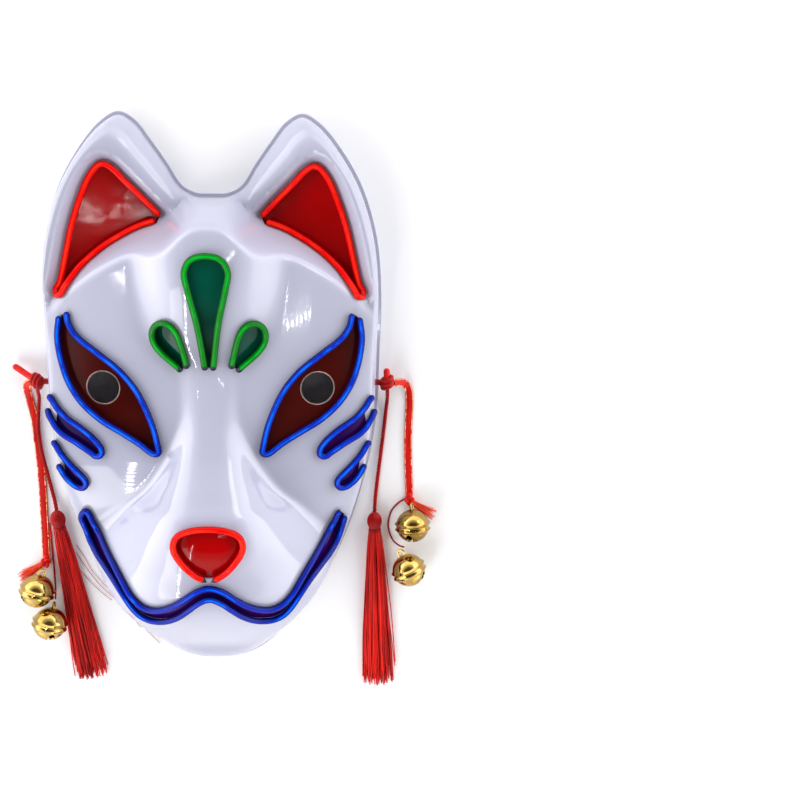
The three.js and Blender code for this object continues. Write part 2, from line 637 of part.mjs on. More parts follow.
// A hollow bell with a band round its middle, a slot below and an eye on top
function bellGeometry({ centre, turn, spin }) {
  const { radius, bandRadius, bandHalf } = bell;
  const halfBall = (size) => {
    const profile = [];
    for (let ring = 0; ring <= bell.rings; ring += 1) {
      const angle = -Math.PI / 2 + (ring / bell.rings) * (Math.PI / 2 - Math.asin(bandHalf / size));
      profile.push([size * Math.cos(angle), size * Math.sin(angle)]);
    }
    return profile;
  };
  const ballGeometry = (size, band) => {
    const below = halfBall(size);
    const above = below.map(([x, y]) => [x, -y]).reverse();
    const points = [[0, -size], ...below.slice(1), ...band, ...above.slice(0, -1), [0, size]];
    return new THREE.LatheGeometry(points.map(([x, y]) => new THREE.Vector2(x, y)), bell.sides);
  };
  const body = solidOf(ballGeometry(radius, [[bandRadius, -bandHalf], [bandRadius, bandHalf]]));
  const hollow = solidOf(ballGeometry(radius - bell.wall, []));
  const cutter = new THREE.BoxGeometry(3 * radius, radius, bell.slotWidth);
  const slot = solidOf(cutter.translate(0, bell.slotTop - radius / 2, 0));
  const ring = new THREE.TorusGeometry(bell.eyeRadius, bell.eyeWire, 4, 6);
  const eye = solidOf(ring.translate(0, radius + bell.eyeRadius - bell.eyeSink, 0));
  const whole = geometryOf(body.add(eye).subtract(hollow).subtract(slot));
  whole.rotateY(THREE.MathUtils.degToRad(spin)).rotateZ(THREE.MathUtils.degToRad(turn));
  return whole.translate(...centre, bandRadius + 0.1);
}

// The object
const mask = new THREE.Group();
mask.position.y = -maskHeight / 2;

function addPart(name, geometry, material) {
  const mesh = new THREE.Mesh(geometry, material);
  mesh.name = name;
  mask.add(mesh);
}

addPart('mask_shell', shellGeometry, shellWhite);

['left', 'right'].forEach((name) => {
  const sign = sides[name].sign;
  const turned = (path) => (sign > 0 ? path : path.map(mirrored));
  const markWindow = (mark) => windowGeometry(openings[`${mark}_${name}`], { lap: markLap });
  addPart(`ear_window_${name}`, windowGeometry(openings[`ear_${name}`]), earRed);
  addPart(`eye_lens_${name}`, windowGeometry(openings[`eye_${name}`], { holes: [pupilLoop(sign)] }), lensBrown);
  addPart(`forehead_window_${name}`, windowGeometry(openings[`forehead_${name}`]), dropGreen);
  addPart(`cheek_window_upper_${name}`, markWindow('cheek_upper'), markViolet);
  addPart(`cheek_window_lower_${name}`, markWindow('cheek_lower'), markViolet);
  addPart(`ear_wire_${name}`, wireGeometry(evenPoints(turned(earPath), loopSpacing)), wireRed);
  addPart(`eye_wire_${name}`, wireGeometry(evenPoints(turned(eyePath), loopSpacing)), wireBlue);
  addPart(`forehead_wire_${name}`, wireGeometry(evenPoints(turned(sideDropPath), markSpacing)), wireGreen);
  addPart(`cheek_wire_upper_${name}`, wireGeometry(evenPoints(turned(cheekUpperPath), markSpacing)), wireBlue);
  addPart(`cheek_wire_lower_${name}`, wireGeometry(evenPoints(turned(cheekLowerPath), markSpacing)), wireBlue);
});
addPart('forehead_window_centre', windowGeometry(openings.forehead_centre), dropGreen);
addPart('nose_window', windowGeometry(openings.nose, { lap: narrowLap, dome: noseDome }), earRed);
addPart('mouth_window', windowGeometry(openings.mouth, { lap: narrowLap }), markViolet);
addPart('forehead_wire_centre', wireGeometry(evenPoints(outlinePath(centreDropHalf), markSpacing)), wireGreen);
addPart('nose_wire', wireGeometry(evenPoints(outlinePath(nosePathHalf), markSpacing)), wireRed);
addPart('mouth_wire', wireGeometry(evenPoints(mouthPath, loopSpacing)), wireBlue);

Object.entries(sides).forEach(([name, side]) => {
  addPart(`tie_knot_${name}`, knotGeometry(side), satinRed);
  addPart(`ribbon_${name}`, ribbonGeometry(side), satinRed);
  addPart(`ribbon_tail_${name}`, ribbonTailGeometry(side), satinRed);
  addPart(`tassel_cord_${name}`, cordGeometry(side.tasselCord, tasselCordRadius, 13), satinRed);
  addPart(`tassel_${name}`, tasselGeometry(side), satinRed);
  addPart(`bell_thread_${name}`, cordGeometry(side.bellThread, bellThreadRadius, 9), satinRed);
  addPart(`bell_upper_${name}`, bellGeometry(side.bells[0]), brassGold);
  addPart(`bell_lower_${name}`, bellGeometry(side.bells[1]), brassGold);
});

export default mask;
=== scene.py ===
# Fox mask: a thin glossy white shell with tinted windows outlined in soft glowing wire,
# and a ribbon with two bells and a tassel at each side. It lies face up on a pale floor.
import math
import random

import bmesh
import bpy
import numpy as np
from mathutils import Matrix, Vector
from mathutils.bvhtree import BVHTree
from mathutils.geometry import delaunay_2d_cdt


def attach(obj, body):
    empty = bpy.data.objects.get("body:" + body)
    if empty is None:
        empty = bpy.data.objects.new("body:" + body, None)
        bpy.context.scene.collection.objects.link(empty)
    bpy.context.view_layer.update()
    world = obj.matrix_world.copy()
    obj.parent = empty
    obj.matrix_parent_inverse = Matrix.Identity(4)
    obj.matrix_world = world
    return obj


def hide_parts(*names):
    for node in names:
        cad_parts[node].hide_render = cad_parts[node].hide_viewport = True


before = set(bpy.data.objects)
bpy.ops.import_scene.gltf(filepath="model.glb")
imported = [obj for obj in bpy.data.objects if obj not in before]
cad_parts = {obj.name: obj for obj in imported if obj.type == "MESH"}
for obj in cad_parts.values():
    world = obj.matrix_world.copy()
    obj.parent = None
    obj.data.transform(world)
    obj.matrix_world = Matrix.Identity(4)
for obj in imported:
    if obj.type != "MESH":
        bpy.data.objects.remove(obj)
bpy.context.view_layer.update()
print("frame loaded")

mm = 0.001
chinToOrigin = 141  # plan points below count from the chin, the frame counts from the middle

scene = bpy.context.scene


def toFrame(x, y, z):
    return Vector((x * mm, (y - chinToOrigin) * mm, z * mm))


def placeObject(name, data, matrix=None):
    placed = bpy.data.objects.new(name, data)
    if matrix is not None:
        placed.matrix_world = matrix
    scene.collection.objects.link(placed)
    return placed


# A camera or lamp looks along its own -Z
def lookFrom(place, right, back):
    return Matrix.Translation(place) @ Matrix((right, back.cross(right), back)).transposed().to_4x4()


# Camera, at the place the photograph was taken from
cameraSetup = {
    "place": (0.052, 0.1516, 0.699),
    "lookAlong": (0.0589, -0.2143, -0.9750),
    "upward": (-0.0027, 0.9767, -0.2148),
    "lens": 63,
    "sensor": 36,
}


def addCamera(setup):
    data = bpy.data.cameras.new("camera")
    data.lens = setup["lens"]
    data.sensor_width = setup["sensor"]
    back = -Vector(setup["lookAlong"]).normalized()
    right = Vector(setup["upward"]).cross(back).normalized()
    scene.camera = placeObject("camera", data, lookFrom(setup["place"], right, back))


addCamera(cameraSetup)
scene.view_settings.view_transform = "Standard"
print("camera placed")


# Node helpers: one dictionary holds a node's settings, its sockets' values and what flows into them
def addNode(tree, kind, values=None):
    node = tree.nodes.new(kind)
    for key, value in (values or {}).items():
        if isinstance(value, bpy.types.NodeSocket):
            tree.links.new(value, node.inputs[key])
        elif isinstance(key, int) or key in node.inputs:
            node.inputs[key].default_value = value
        else:
            setattr(node, key, value)
    return node


# More than two terms are taken one after another, as in first + second + third
def mathNode(tree, operation, first, *others):
    for other in others or (0.0,):
        first = addNode(tree, "ShaderNodeMath", {"operation": operation, 0: first, 1: other}).outputs[0]
    return first


# Soft unevenness of a moulded or drawn surface: a broad mask, a fine mask and a bumped normal
unevenInputs = ("Broad Scale", "Fine Scale", "Broad Bump", "Fine Bump")


def buildUnevenness():
    group = bpy.data.node_groups.new("unevenness", "ShaderNodeTree")
    for label in unevenInputs:
        group.interface.new_socket(name=label, in_out="INPUT", socket_type="NodeSocketFloat")
    for label, kind in (("Broad", "Float"), ("Fine", "Float"), ("Normal", "Vector")):
        group.interface.new_socket(name=label, in_out="OUTPUT", socket_type="NodeSocket" + kind)
    given = group.nodes.new("NodeGroupInput").outputs
    place = addNode(group, "ShaderNodeTexCoord").outputs["Object"]
    leave = {}
    normal = {}
    for label, depth in (("Broad", 0.002), ("Fine", 0.0002)):
        values = {"Vector": place, "Detail": 3.0, "Scale": given[label + " Scale"]}
        leave[label] = addNode(group, "ShaderNodeTexNoise", values).outputs[0]
        values = {"Distance": depth, "Height": leave[label], "Strength": given[label + " Bump"], **normal}
        normal = {"Normal": addNode(group, "ShaderNodeBump", values).outputs["Normal"]}
    addNode(group, "NodeGroupOutput", {**leave, **normal})
    return group


unevenness = buildUnevenness()


def startMaterial(name, constants):
    material = bpy.data.materials.new(name)
    material.use_nodes = True
    shader = material.node_tree.nodes["Principled BSDF"]
    for label, value in constants.items():
        shader.inputs[label].default_value = value
    return material, material.node_tree, shader


def colourRamp(tree, mask, stops, interpolation="LINEAR"):
    node = addNode(tree, "ShaderNodeValToRGB", {"Fac": mask})
    node.color_ramp.interpolation = interpolation
    elements = node.color_ramp.elements
    while len(elements) < len(stops):
        elements.new(0.5)
    for element, (position, colour) in zip(elements, stops):
        element.position = position
        element.color = (*colour, 1)
    return node.outputs["Color"]


def spreadRoughness(tree, shader, mask, low, high):
    values = {"Value": mask, "From Min": 0.3, "From Max": 0.7, "To Min": low, "To Max": high}
    spread = addNode(tree, "ShaderNodeMapRange", values)
    tree.links.new(spread.outputs["Result"], shader.inputs["Roughness"])


# Bumps the surface, spreads its roughness and gives back the broad mask
def placeUnevenness(tree, shader, finish):
    values = dict(zip(unevenInputs, finish["uneven"]))
    node = addNode(tree, "ShaderNodeGroup", {"node_tree": unevenness, **values})
    tree.links.new(node.outputs["Normal"], shader.inputs["Normal"])
    if "roughness" in finish:
        spreadRoughness(tree, shader, node.outputs["Fine"], *finish["roughness"])
    return node.outputs["Broad"]


# Each finish has a deep and a light colour, the places in the broad mask where they begin, a range of
# roughness, its unevenness (broad scale, fine scale, broad bump, fine bump) and what is the same all over
tintedFilm = {
    "blend": (0.35, 0.65),
    "roughness": (0.04, 0.1),
    "uneven": (22.0, 700.0, 0.25, 0.02),
    "constants": {"IOR": 1.28, "Coat Weight": 0.05, "Coat Roughness": 0.02, "Transmission Weight": 0.03},
}
drawnMetal = {"blend": (0.3, 0.55), "uneven": (90.0, 1500.0, 0.15, 0.12), "constants": {"Metallic": 1.0}}
finishes = {
    "shell_white": {
        "name": "glossyWhitePlastic",
        "colours": ((0.385, 0.385, 0.495), (0.43, 0.43, 0.545)),
        "blend": (0.2, 0.6),
        "roughness": (0.05, 0.11),
        "uneven": (14.0, 900.0, 0.12, 0.02),
        "constants": {"IOR": 1.5, "Coat Weight": 0.4, "Coat Roughness": 0.02},
    },
    "window_red": {
        **tintedFilm, "name": "film_window_red", "colours": ((0.30, 0.0, 0.0), (0.40, 0.0, 0.001)),
    },
    "lens_smoked": {
        **tintedFilm,
        "name": "film_lens_smoked",
        "colours": ((0.048, 0.002, 0.001), (0.075, 0.006, 0.004)),
        "constants": {**tintedFilm["constants"], "Transmission Weight": 0.05},
    },
    "window_green": {
        **tintedFilm, "name": "film_window_green", "colours": ((0.0, 0.040, 0.022), (0.0, 0.085, 0.052)),
    },
    "window_violet": {
        **tintedFilm, "name": "film_window_violet", "colours": ((0.014, 0.0, 0.070), (0.040, 0.001, 0.11)),
    },
    "bell_brass": {
        **drawnMetal, "name": "bell_brass", "colours": ((0.20, 0.115, 0.02), (0.52, 0.34, 0.095)),
        "roughness": (0.05, 0.14),
    },
    "gold_thread": {
        **drawnMetal, "name": "gold_thread", "colours": ((0.62, 0.38, 0.10), (1.0, 0.78, 0.40)),
        "roughness": (0.2, 0.4),
    },
    "tip": {  # a dark tube over a wire's end: painted shade for the dark hole where the wire goes into the shell
        "name": "sleeveTipPaintedShade",
        "colours": ((0.001, 0.002, 0.012), (0.003, 0.006, 0.03)),
        "blend": (0.35, 0.65),
        "uneven": (300.0, 1800.0, 0.1, 0.1),
        "constants": {"IOR": 1.5, "Roughness": 0.3},
    },
    "cut_edge_painted_highlight": {  # a pale ring round a viewing hole: painted highlight where light catches the hole's cut edge
        "name": "cutEdgePaintedHighlight",
        "colours": ((0.26, 0.16, 0.15), (0.55, 0.42, 0.38)),
        "blend": (0.35, 0.65),
        "uneven": (160.0, 1800.0, 0.1, 0.1),
        "constants": {"IOR": 1.5, "Roughness": 0.35},
    },
}


def makeFinish(finish):
    material, tree, shader = startMaterial(finish["name"], finish["constants"])
    broad = placeUnevenness(tree, shader, finish)
    colour = colourRamp(tree, broad, list(zip(finish["blend"], finish["colours"])))
    tree.links.new(colour, shader.inputs["Base Color"])
    return material


# Painted light on the wire's tinted sleeve: painted shade on the dark flanks, a painted highlight line along
# the top, and the same colour sent out as a painted glow
wireFinish = {
    "roughness": (0.12, 0.24),
    "uneven": (120.0, 1800.0, 0.08, 0.05),
    "wander": 0.16,
    "stations": (0.5, 0.88, 0.965, 0.992),  # how far the surface faces up, from flank to top line
    "constants": {"IOR": 1.22, "Coat Weight": 0.04, "Coat Roughness": 0.05, "Emission Strength": 0.2},
    "colours": {
        "wire_red": ((0.40, 0.0, 0.0), (0.70, 0.0, 0.0), (0.80, 0.002, 0.0), (0.90, 0.03, 0.008)),
        "wire_blue": ((0.0, 0.003, 0.085), (0.0, 0.010, 0.29), (0.0, 0.028, 0.48), (0.0, 0.14, 0.85)),
        "wire_green": ((0.0, 0.075, 0.002), (0.0, 0.14, 0.004), (0.0, 0.20, 0.006), (0.0, 0.37, 0.02)),
    },
}


def makeWireSleeveWithPaintedLight(slotName, finish):
    material, tree, shader = startMaterial("sleevePaintedLight_" + slotName, finish["constants"])
    broad = placeUnevenness(tree, shader, finish)
    # Painted shade and painted highlight: the colour follows how far the surface faces up, darker on the
    # flanks, lighter along the top
    facing = addNode(tree, "ShaderNodeTexCoord").outputs["Normal"]
    upward = addNode(tree, "ShaderNodeSeparateXYZ", {"Vector": facing}).outputs["Z"]
    wander = mathNode(tree, "MULTIPLY", mathNode(tree, "SUBTRACT", broad, 0.5), finish["wander"])
    stops = list(zip(finish["stations"], finish["colours"][slotName]))
    colour = colourRamp(tree, mathNode(tree, "ADD", upward, wander), stops)
    tree.links.new(colour, shader.inputs["Base Color"])
    # Painted glow: the sleeve's colour is also sent out as light
    tree.links.new(colour, shader.inputs["Emission Color"])
    return material


# Satin fibres lie lengthways: streaks are fine across and long along the hanging direction
satinFinish = {
    "stretch": 0.07,
    "noises": ((900.0, 2.0), (160.0, 1.0)),  # scale and detail of the fibres and of the patches
    "shares": (0.6, 0.4),
    "ownShade": 0.045,  # how far each thread of a tassel has a shade of its own
    "blend": (0.32, 0.66),
    "roughness": (0.3, 0.5),
    "constants": {"Sheen Weight": 0.03, "Sheen Roughness": 0.4, "IOR": 1.3},
    "colours": {
        "cord": ((0.24, 0.0, 0.0), (0.50, 0.002, 0.001)),
        "ribbon": ((0.36, 0.0, 0.0), (0.82, 0.008, 0.002)),
        "thread": ((0.30, 0.0, 0.0), (0.86, 0.010, 0.003)),
        "frayed": ((0.70, 0.03, 0.006), (0.95, 0.10, 0.025)),
    },
}


def makeSatin(kind, finish):
    material, tree, shader = startMaterial("satin_" + kind, finish["constants"])
    place = addNode(tree, "ShaderNodeTexCoord").outputs["Object"]
    values = {"Vector": place, "Scale": (1, finish["stretch"], 1)}
    drawn = addNode(tree, "ShaderNodeMapping", values).outputs[0]
    noises = []
    for scale, detail in finish["noises"]:
        values = {"Vector": drawn, "Scale": scale, "Detail": detail}
        noises.append(addNode(tree, "ShaderNodeTexNoise", values).outputs[0])
    parts = [mathNode(tree, "MULTIPLY", *pair) for pair in zip(noises, finish["shares"])]
    mixed = mathNode(tree, "ADD", *parts)
    if kind == "thread":
        own = addNode(tree, "ShaderNodeAttribute", {"attribute_name": "phase"}).outputs["Fac"]
        own = mathNode(tree, "MULTIPLY", mathNode(tree, "SUBTRACT", own, math.pi), finish["ownShade"])
        mixed = mathNode(tree, "ADD", mixed, own)
    colour = colourRamp(tree, mixed, list(zip(finish["blend"], finish["colours"][kind])))
    tree.links.new(colour, shader.inputs["Base Color"])
    spreadRoughness(tree, shader, noises[0], *finish["roughness"])
    bump = addNode(tree, "ShaderNodeBump", {"Distance": 0.0002, "Strength": 0.5, "Height": noises[0]})
    tree.links.new(bump.outputs["Normal"], shader.inputs["Normal"])
    return material


materials = {slotName: makeFinish(finish) for slotName, finish in finishes.items()}
for slotName in wireFinish["colours"]:
    materials[slotName] = makeWireSleeveWithPaintedLight(slotName, wireFinish)
for kind in satinFinish["colours"]:
    materials[kind] = makeSatin(kind, satinFinish)
print("materials made")


# Geometry node helpers. Each tree takes a path, its named sizes and a material
def startTree(name, inputs):
    tree = bpy.data.node_groups.new(name, "GeometryNodeTree")
    tree.interface.new_socket(name="Path", in_out="INPUT", socket_type="NodeSocketGeometry")
    for label, default in inputs.items():
        kind = "NodeSocketInt" if isinstance(default, int) else "NodeSocketFloat"
        tree.interface.new_socket(name=label, in_out="INPUT", socket_type=kind).default_value = default
    tree.interface.new_socket(name="Material", in_out="INPUT", socket_type="NodeSocketMaterial")
    tree.interface.new_socket(name="Mesh", in_out="OUTPUT", socket_type="NodeSocketGeometry")
    given = tree.nodes.new("NodeGroupInput").outputs
    return tree, given


def endTree(tree, given, mesh):
    realized = addNode(tree, "GeometryNodeRealizeInstances", {"Geometry": mesh})
    smooth = addNode(tree, "GeometryNodeSetShadeSmooth", {"Geometry": realized.outputs[0]})
    values = {"Geometry": smooth.outputs[0], "Material": given["Material"]}
    coated = addNode(tree, "GeometryNodeSetMaterial", values)
    addNode(tree, "NodeGroupOutput", {"Mesh": coated.outputs[0]})
    return tree


def pathCurve(tree, given):
    return addNode(tree, "GeometryNodeMeshToCurve", {"Mesh": given["Path"]}).outputs[0]


def levelCurve(tree, given):
    values = {"mode": "Z_UP", "Curve": pathCurve(tree, given)}
    return addNode(tree, "GeometryNodeSetCurveNormal", values).outputs[0]


def circleCurve(tree, count, radius):
    values = {"Resolution": count, "Radius": radius}
    return addNode(tree, "GeometryNodeCurvePrimitiveCircle", values).outputs[0]


def sweep(tree, curve, profile, more=None):
    values = {"Curve": curve, "Profile Curve": profile, "Fill Caps": True, **(more or {})}
    return addNode(tree, "GeometryNodeCurveToMesh", values).outputs[0]


# A round tube along a path, whose ends may be rounded
def buildTubeTree():
    tree, given = startTree("tubeAlongPath", {"Radius": 0.0016, "Sides": 16, "End Rounding": 0.0})
    tiny = 1e-7
    along = addNode(tree, "GeometryNodeSplineParameter").outputs["Length"]
    whole = addNode(tree, "GeometryNodeSplineLength").outputs["Length"]
    fromEnd = mathNode(tree, "MINIMUM", along, mathNode(tree, "SUBTRACT", whole, along))
    rounding = mathNode(tree, "ADD", given["End Rounding"], tiny)
    share = mathNode(tree, "DIVIDE", mathNode(tree, "ADD", fromEnd, tiny), rounding)
    rest = mathNode(tree, "SUBTRACT", 1.0, mathNode(tree, "MINIMUM", share, 1.0))
    scale = mathNode(tree, "SQRT", mathNode(tree, "SUBTRACT", 1.0, mathNode(tree, "MULTIPLY", rest, rest)))
    circle = circleCurve(tree, given["Sides"], given["Radius"])
    return endTree(tree, given, sweep(tree, pathCurve(tree, given), circle, {"Scale": scale}))


# Three plies twisted round each other along a path, each with this share of the cord's radius
plyShare = 0.54


def buildPlyTree():
    tree, given = startTree("twistedPlies", {"Radius": 0.001, "Turn Length": 0.005})
    along = addNode(tree, "GeometryNodeSplineParameter").outputs["Length"]
    tilt = mathNode(tree, "MULTIPLY", mathNode(tree, "DIVIDE", along, given["Turn Length"]), 2 * math.pi)
    tilted = addNode(tree, "GeometryNodeSetCurveTilt", {"Curve": pathCurve(tree, given), "Tilt": tilt})
    plyRadius = mathNode(tree, "MULTIPLY", given["Radius"], plyShare)
    values = {"Points": circleCurve(tree, 3, plyRadius), "Instance": circleCurve(tree, 8, plyRadius)}
    plies = addNode(tree, "GeometryNodeInstanceOnPoints", values)
    profile = addNode(tree, "GeometryNodeRealizeInstances", {"Geometry": plies.outputs[0]})
    return endTree(tree, given, sweep(tree, tilted.outputs[0], profile.outputs[0]))


# A soft band along a path, kept level, with an oval section
def buildBandTree():
    tree, given = startTree("bandAlongPath", {"Width": 0.004, "Thickness": 0.0009})
    size = addNode(tree, "ShaderNodeCombineXYZ", {"X": given["Width"], "Y": given["Thickness"], "Z": 1.0})
    values = {"Geometry": circleCurve(tree, 20, 0.5), "Scale": size.outputs[0]}
    oval = addNode(tree, "GeometryNodeTransform", values)
    return endTree(tree, given, sweep(tree, levelCurve(tree, given), oval.outputs[0]))


# Short metal stitches along both edges of a band, some of them worn away
stitchShape = {"fromMiddle": 0.4, "least": 0.6, "most": 1.3, "length": 1.5}


def buildStitchTree():
    tree, given = startTree("edgeStitches", {
        "Width": 0.004,
        "Spacing": 0.0011,
        "Stitch": 0.0003,
        "Lift": 0.0003,
        "Kept Share": 0.8,
        "Seed": 1,
    })
    values = {"mode": "LENGTH", "Curve": levelCurve(tree, given), "Length": given["Spacing"]}
    marks = addNode(tree, "GeometryNodeCurveToPoints", values).outputs
    bead = addNode(tree, "GeometryNodeMeshUVSphere", {"Segments": 6, "Rings": 4, "Radius": 1.0})
    upward = addNode(tree, "ShaderNodeCombineXYZ", {"Z": given["Lift"]}).outputs[0]
    parts = addNode(tree, "GeometryNodeJoinGeometry")
    for extra, sign in enumerate((-1, 1)):
        seed = mathNode(tree, "ADD", given["Seed"], extra)
        reach = mathNode(tree, "MULTIPLY", given["Width"], stitchShape["fromMiddle"] * sign)
        values = {"operation": "SCALE", 0: marks["Normal"], "Scale": reach}
        shift = addNode(tree, "ShaderNodeVectorMath", values).outputs[0]
        raised = addNode(tree, "ShaderNodeVectorMath", {"operation": "ADD", 0: shift, 1: upward})
        values = {"Geometry": marks["Points"], "Offset": raised.outputs[0]}
        edge = addNode(tree, "GeometryNodeSetPosition", values)
        values = {"data_type": "BOOLEAN", "Probability": given["Kept Share"], "Seed": seed}
        kept = addNode(tree, "FunctionNodeRandomValue", values)
        values = {"data_type": "FLOAT", 2: stitchShape["least"], 3: stitchShape["most"], "Seed": seed}
        swell = addNode(tree, "FunctionNodeRandomValue", values)
        thick = mathNode(tree, "MULTIPLY", swell.outputs[1], given["Stitch"])
        long = mathNode(tree, "MULTIPLY", thick, stitchShape["length"])
        size = addNode(tree, "ShaderNodeCombineXYZ", {"X": thick, "Y": thick, "Z": long})
        stitches = addNode(tree, "GeometryNodeInstanceOnPoints", {
            "Points": edge.outputs[0],
            "Selection": kept.outputs[3],
            "Instance": bead.outputs["Mesh"],
            "Rotation": marks["Rotation"],
            "Scale": size.outputs[0],
        })
        tree.links.new(stitches.outputs[0], parts.inputs[0])
    return endTree(tree, given, parts.outputs[0])


# What each thread of a tassel draws for itself, kept as attributes
threadDraws = {
    "side": (-1.0, 1.0),
    "level": (-1.0, 1.0),
    "reach": (0.86, 1.0),
    "phase": (0.0, 6.28),
    "stray": (-1.0, 1.0),
}
threadShape = {
    "points": 14,
    "fan": 0.7,  # below 1 the threads fan out close to the head
    "waves": 7.0,
    "wave": 0.0004,
    "gather": 4.5,  # the lower, the closer they lie together in strands
    "strayPower": 9.0,  # the higher, the fewer threads stray
    "stray": 0.0035,
}


# The threads of a tassel: each path point is one thread, which fans out and comes down to the floor
def buildSkirtTree():
    tree, given = startTree("tasselSkirt", {
        "Length": 0.08,
        "Neck Radius": 0.0024,
        "Neck Height": 0.004,
        "Spread": 0.008,
        "Pile": 0.005,
        "Thread Radius": 0.0003,
        "Strands": 9.0,
        "Seed": 1,
    })

    def calc(*terms):
        return mathNode(tree, *terms)

    points = given["Path"]
    for extra, (label, (low, high)) in enumerate(threadDraws.items(), start=1):
        values = {"data_type": "FLOAT", 2: low, 3: high, "Seed": calc("ADD", given["Seed"], extra)}
        drawn = addNode(tree, "FunctionNodeRandomValue", values).outputs[1]
        values = {"data_type": "FLOAT", "domain": "POINT", "Geometry": points, "Name": label, "Value": drawn}
        points = addNode(tree, "GeometryNodeStoreNamedAttribute", values).outputs[0]
    side, height, reach, phase, stray = (
        addNode(tree, "GeometryNodeInputNamedAttribute", {"data_type": "FLOAT", "Name": label}).outputs[0]
        for label in threadDraws
    )
    line = addNode(tree, "GeometryNodeCurvePrimitiveLine", {"End": (0, -1, 0)})
    values = {"Curve": line.outputs[0], "Count": threadShape["points"]}
    fine = addNode(tree, "GeometryNodeResampleCurve", values)
    threads = addNode(tree, "GeometryNodeInstanceOnPoints", {"Points": points, "Instance": fine.outputs[0]})
    loose = addNode(tree, "GeometryNodeRealizeInstances", {"Geometry": threads.outputs[0]})

    share = addNode(tree, "GeometryNodeSplineParameter").outputs["Factor"]  # 0 at the neck, 1 at the end
    fan = calc("POWER", share, threadShape["fan"])
    width = calc("ADD", calc("MULTIPLY", given["Neck Radius"], calc("SUBTRACT", 1.0, fan)),
                 calc("MULTIPLY", given["Spread"], fan))
    turned = calc("SINE", calc("ADD", phase, calc("MULTIPLY", share, threadShape["waves"])))
    wave = calc("MULTIPLY", turned, share, threadShape["wave"])
    gather = calc("SINE", calc("MULTIPLY", side, given["Strands"], math.pi))
    gathered = calc("SUBTRACT", side, calc("DIVIDE", gather, given["Strands"], threadShape["gather"]))
    rare = calc("POWER", calc("ABSOLUTE", stray), threadShape["strayPower"])
    astray = calc("MULTIPLY", rare, calc("SIGN", stray), share, threadShape["stray"])
    across = calc("ADD", calc("MULTIPLY", gathered, width), wave, astray)
    down = calc("MULTIPLY", given["Length"], reach, share, -1.0)
    arch = calc("SQRT", calc("SUBTRACT", 1.0, calc("MULTIPLY", side, side)))
    atNeck = calc("ADD", given["Neck Height"], calc("MULTIPLY", height, arch, given["Neck Radius"]))
    upward = calc("ADD", calc("MULTIPLY", height, 0.5), 0.5)
    onFloor = calc("ADD", given["Thread Radius"], calc("MULTIPLY", upward, arch, given["Pile"]))
    rest = calc("SUBTRACT", 1.0, share)
    keep = calc("MULTIPLY", rest, rest)
    lift = calc("ADD", calc("MULTIPLY", atNeck, keep),
                calc("MULTIPLY", onFloor, calc("SUBTRACT", 1.0, keep)))
    place = addNode(tree, "ShaderNodeCombineXYZ", {"X": across, "Y": down, "Z": lift})
    values = {"Geometry": loose.outputs[0], "Position": place.outputs[0]}
    laid = addNode(tree, "GeometryNodeSetPosition", values)
    circle = circleCurve(tree, 4, given["Thread Radius"])
    return endTree(tree, given, sweep(tree, laid.outputs[0], circle))


tubeTree = buildTubeTree()
plyTree = buildPlyTree()
bandTree = buildBandTree()
stitchTree = buildStitchTree()
skirtTree = buildSkirtTree()


# Mesh helpers
def pieceFromSheet(name, sheet):
    mesh = bpy.data.meshes.new(name)
    sheet.to_mesh(mesh)
    sheet.free()
    return placeObject(name, mesh)


def settleModifiers(piece):
    evaluated = piece.evaluated_get(bpy.context.evaluated_depsgraph_get())
    mesh = bpy.data.meshes.new_from_object(evaluated)
    piece.modifiers.clear()
    piece.data = mesh
    return piece


def growMesh(name, tree, points, values):
    path = bpy.data.meshes.new(name)
    path.from_pydata([tuple(point) for point in points], [(i, i + 1) for i in range(len(points) - 1)], [])
    piece = placeObject(name, path)
    modifier = piece.modifiers.new("shape", "NODES")
    modifier.node_group = tree
    keys = {item.name: item.identifier for item in tree.interface.items_tree}
    for label, value in values.items():
        modifier[keys[label]] = value
    return settleModifiers(piece)


def addPiece(name, vertices, faces, material):
    mesh = bpy.data.meshes.new(name)
    mesh.from_pydata([tuple(vertex) for vertex in vertices], [], faces)
    mesh.validate()
    mesh.materials.append(material)
    mesh.shade_smooth()
    return placeObject(name, mesh)


def joinPieces(name, pieces):
    target = pieces[0]
    with bpy.context.temp_override(
        active_object=target, selected_editable_objects=pieces, selected_objects=pieces, object=target
    ):
        bpy.ops.object.join()
    target.name = name
    target.data.name = name
    return target


def thicken(piece, thickness):
    wall = piece.modifiers.new("wall", "SOLIDIFY")
    wall.thickness = thickness * mm
    wall.offset = -1


def addBore(sheet, radius, depth, segments, axis, place):
    made = bmesh.ops.create_cone(sheet, cap_ends=True, segments=segments, radius1=radius * mm,
                                 radius2=radius * mm, depth=depth * mm)
    bmesh.ops.rotate(sheet, verts=made["verts"], matrix=Matrix.Rotation(math.pi / 2, 3, axis))
    bmesh.ops.translate(sheet, verts=made["verts"], vec=place)


def cutAway(piece, cutters, selfCrossing=False):
    for cutter in cutters:
        cut = piece.modifiers.new("cut", "BOOLEAN")
        cut.operation = "DIFFERENCE"
        cut.solver = "EXACT"
        cut.use_self = selfCrossing
        cut.object = cutter
    settleModifiers(piece)
    for cutter in cutters:
        bpy.data.objects.remove(cutter)


def finishPiece(piece, node):
    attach(piece, "root")
    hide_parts(node)
    return piece


def moveMesh(piece, matrix):
    piece.data.transform(matrix)
    piece.data.update()
    return piece


# Pairs across and along an oval, from one angle to another
def ovalArc(across, along, start, end, steps):
    angles = np.linspace(start, end, steps + 1)
    return [(across * math.cos(angle), along * math.sin(angle)) for angle in angles]


def straightPath(start, end, steps):
    return [toFrame(*Vector(start).lerp(Vector(end), step / steps)) for step in range(steps + 1)]


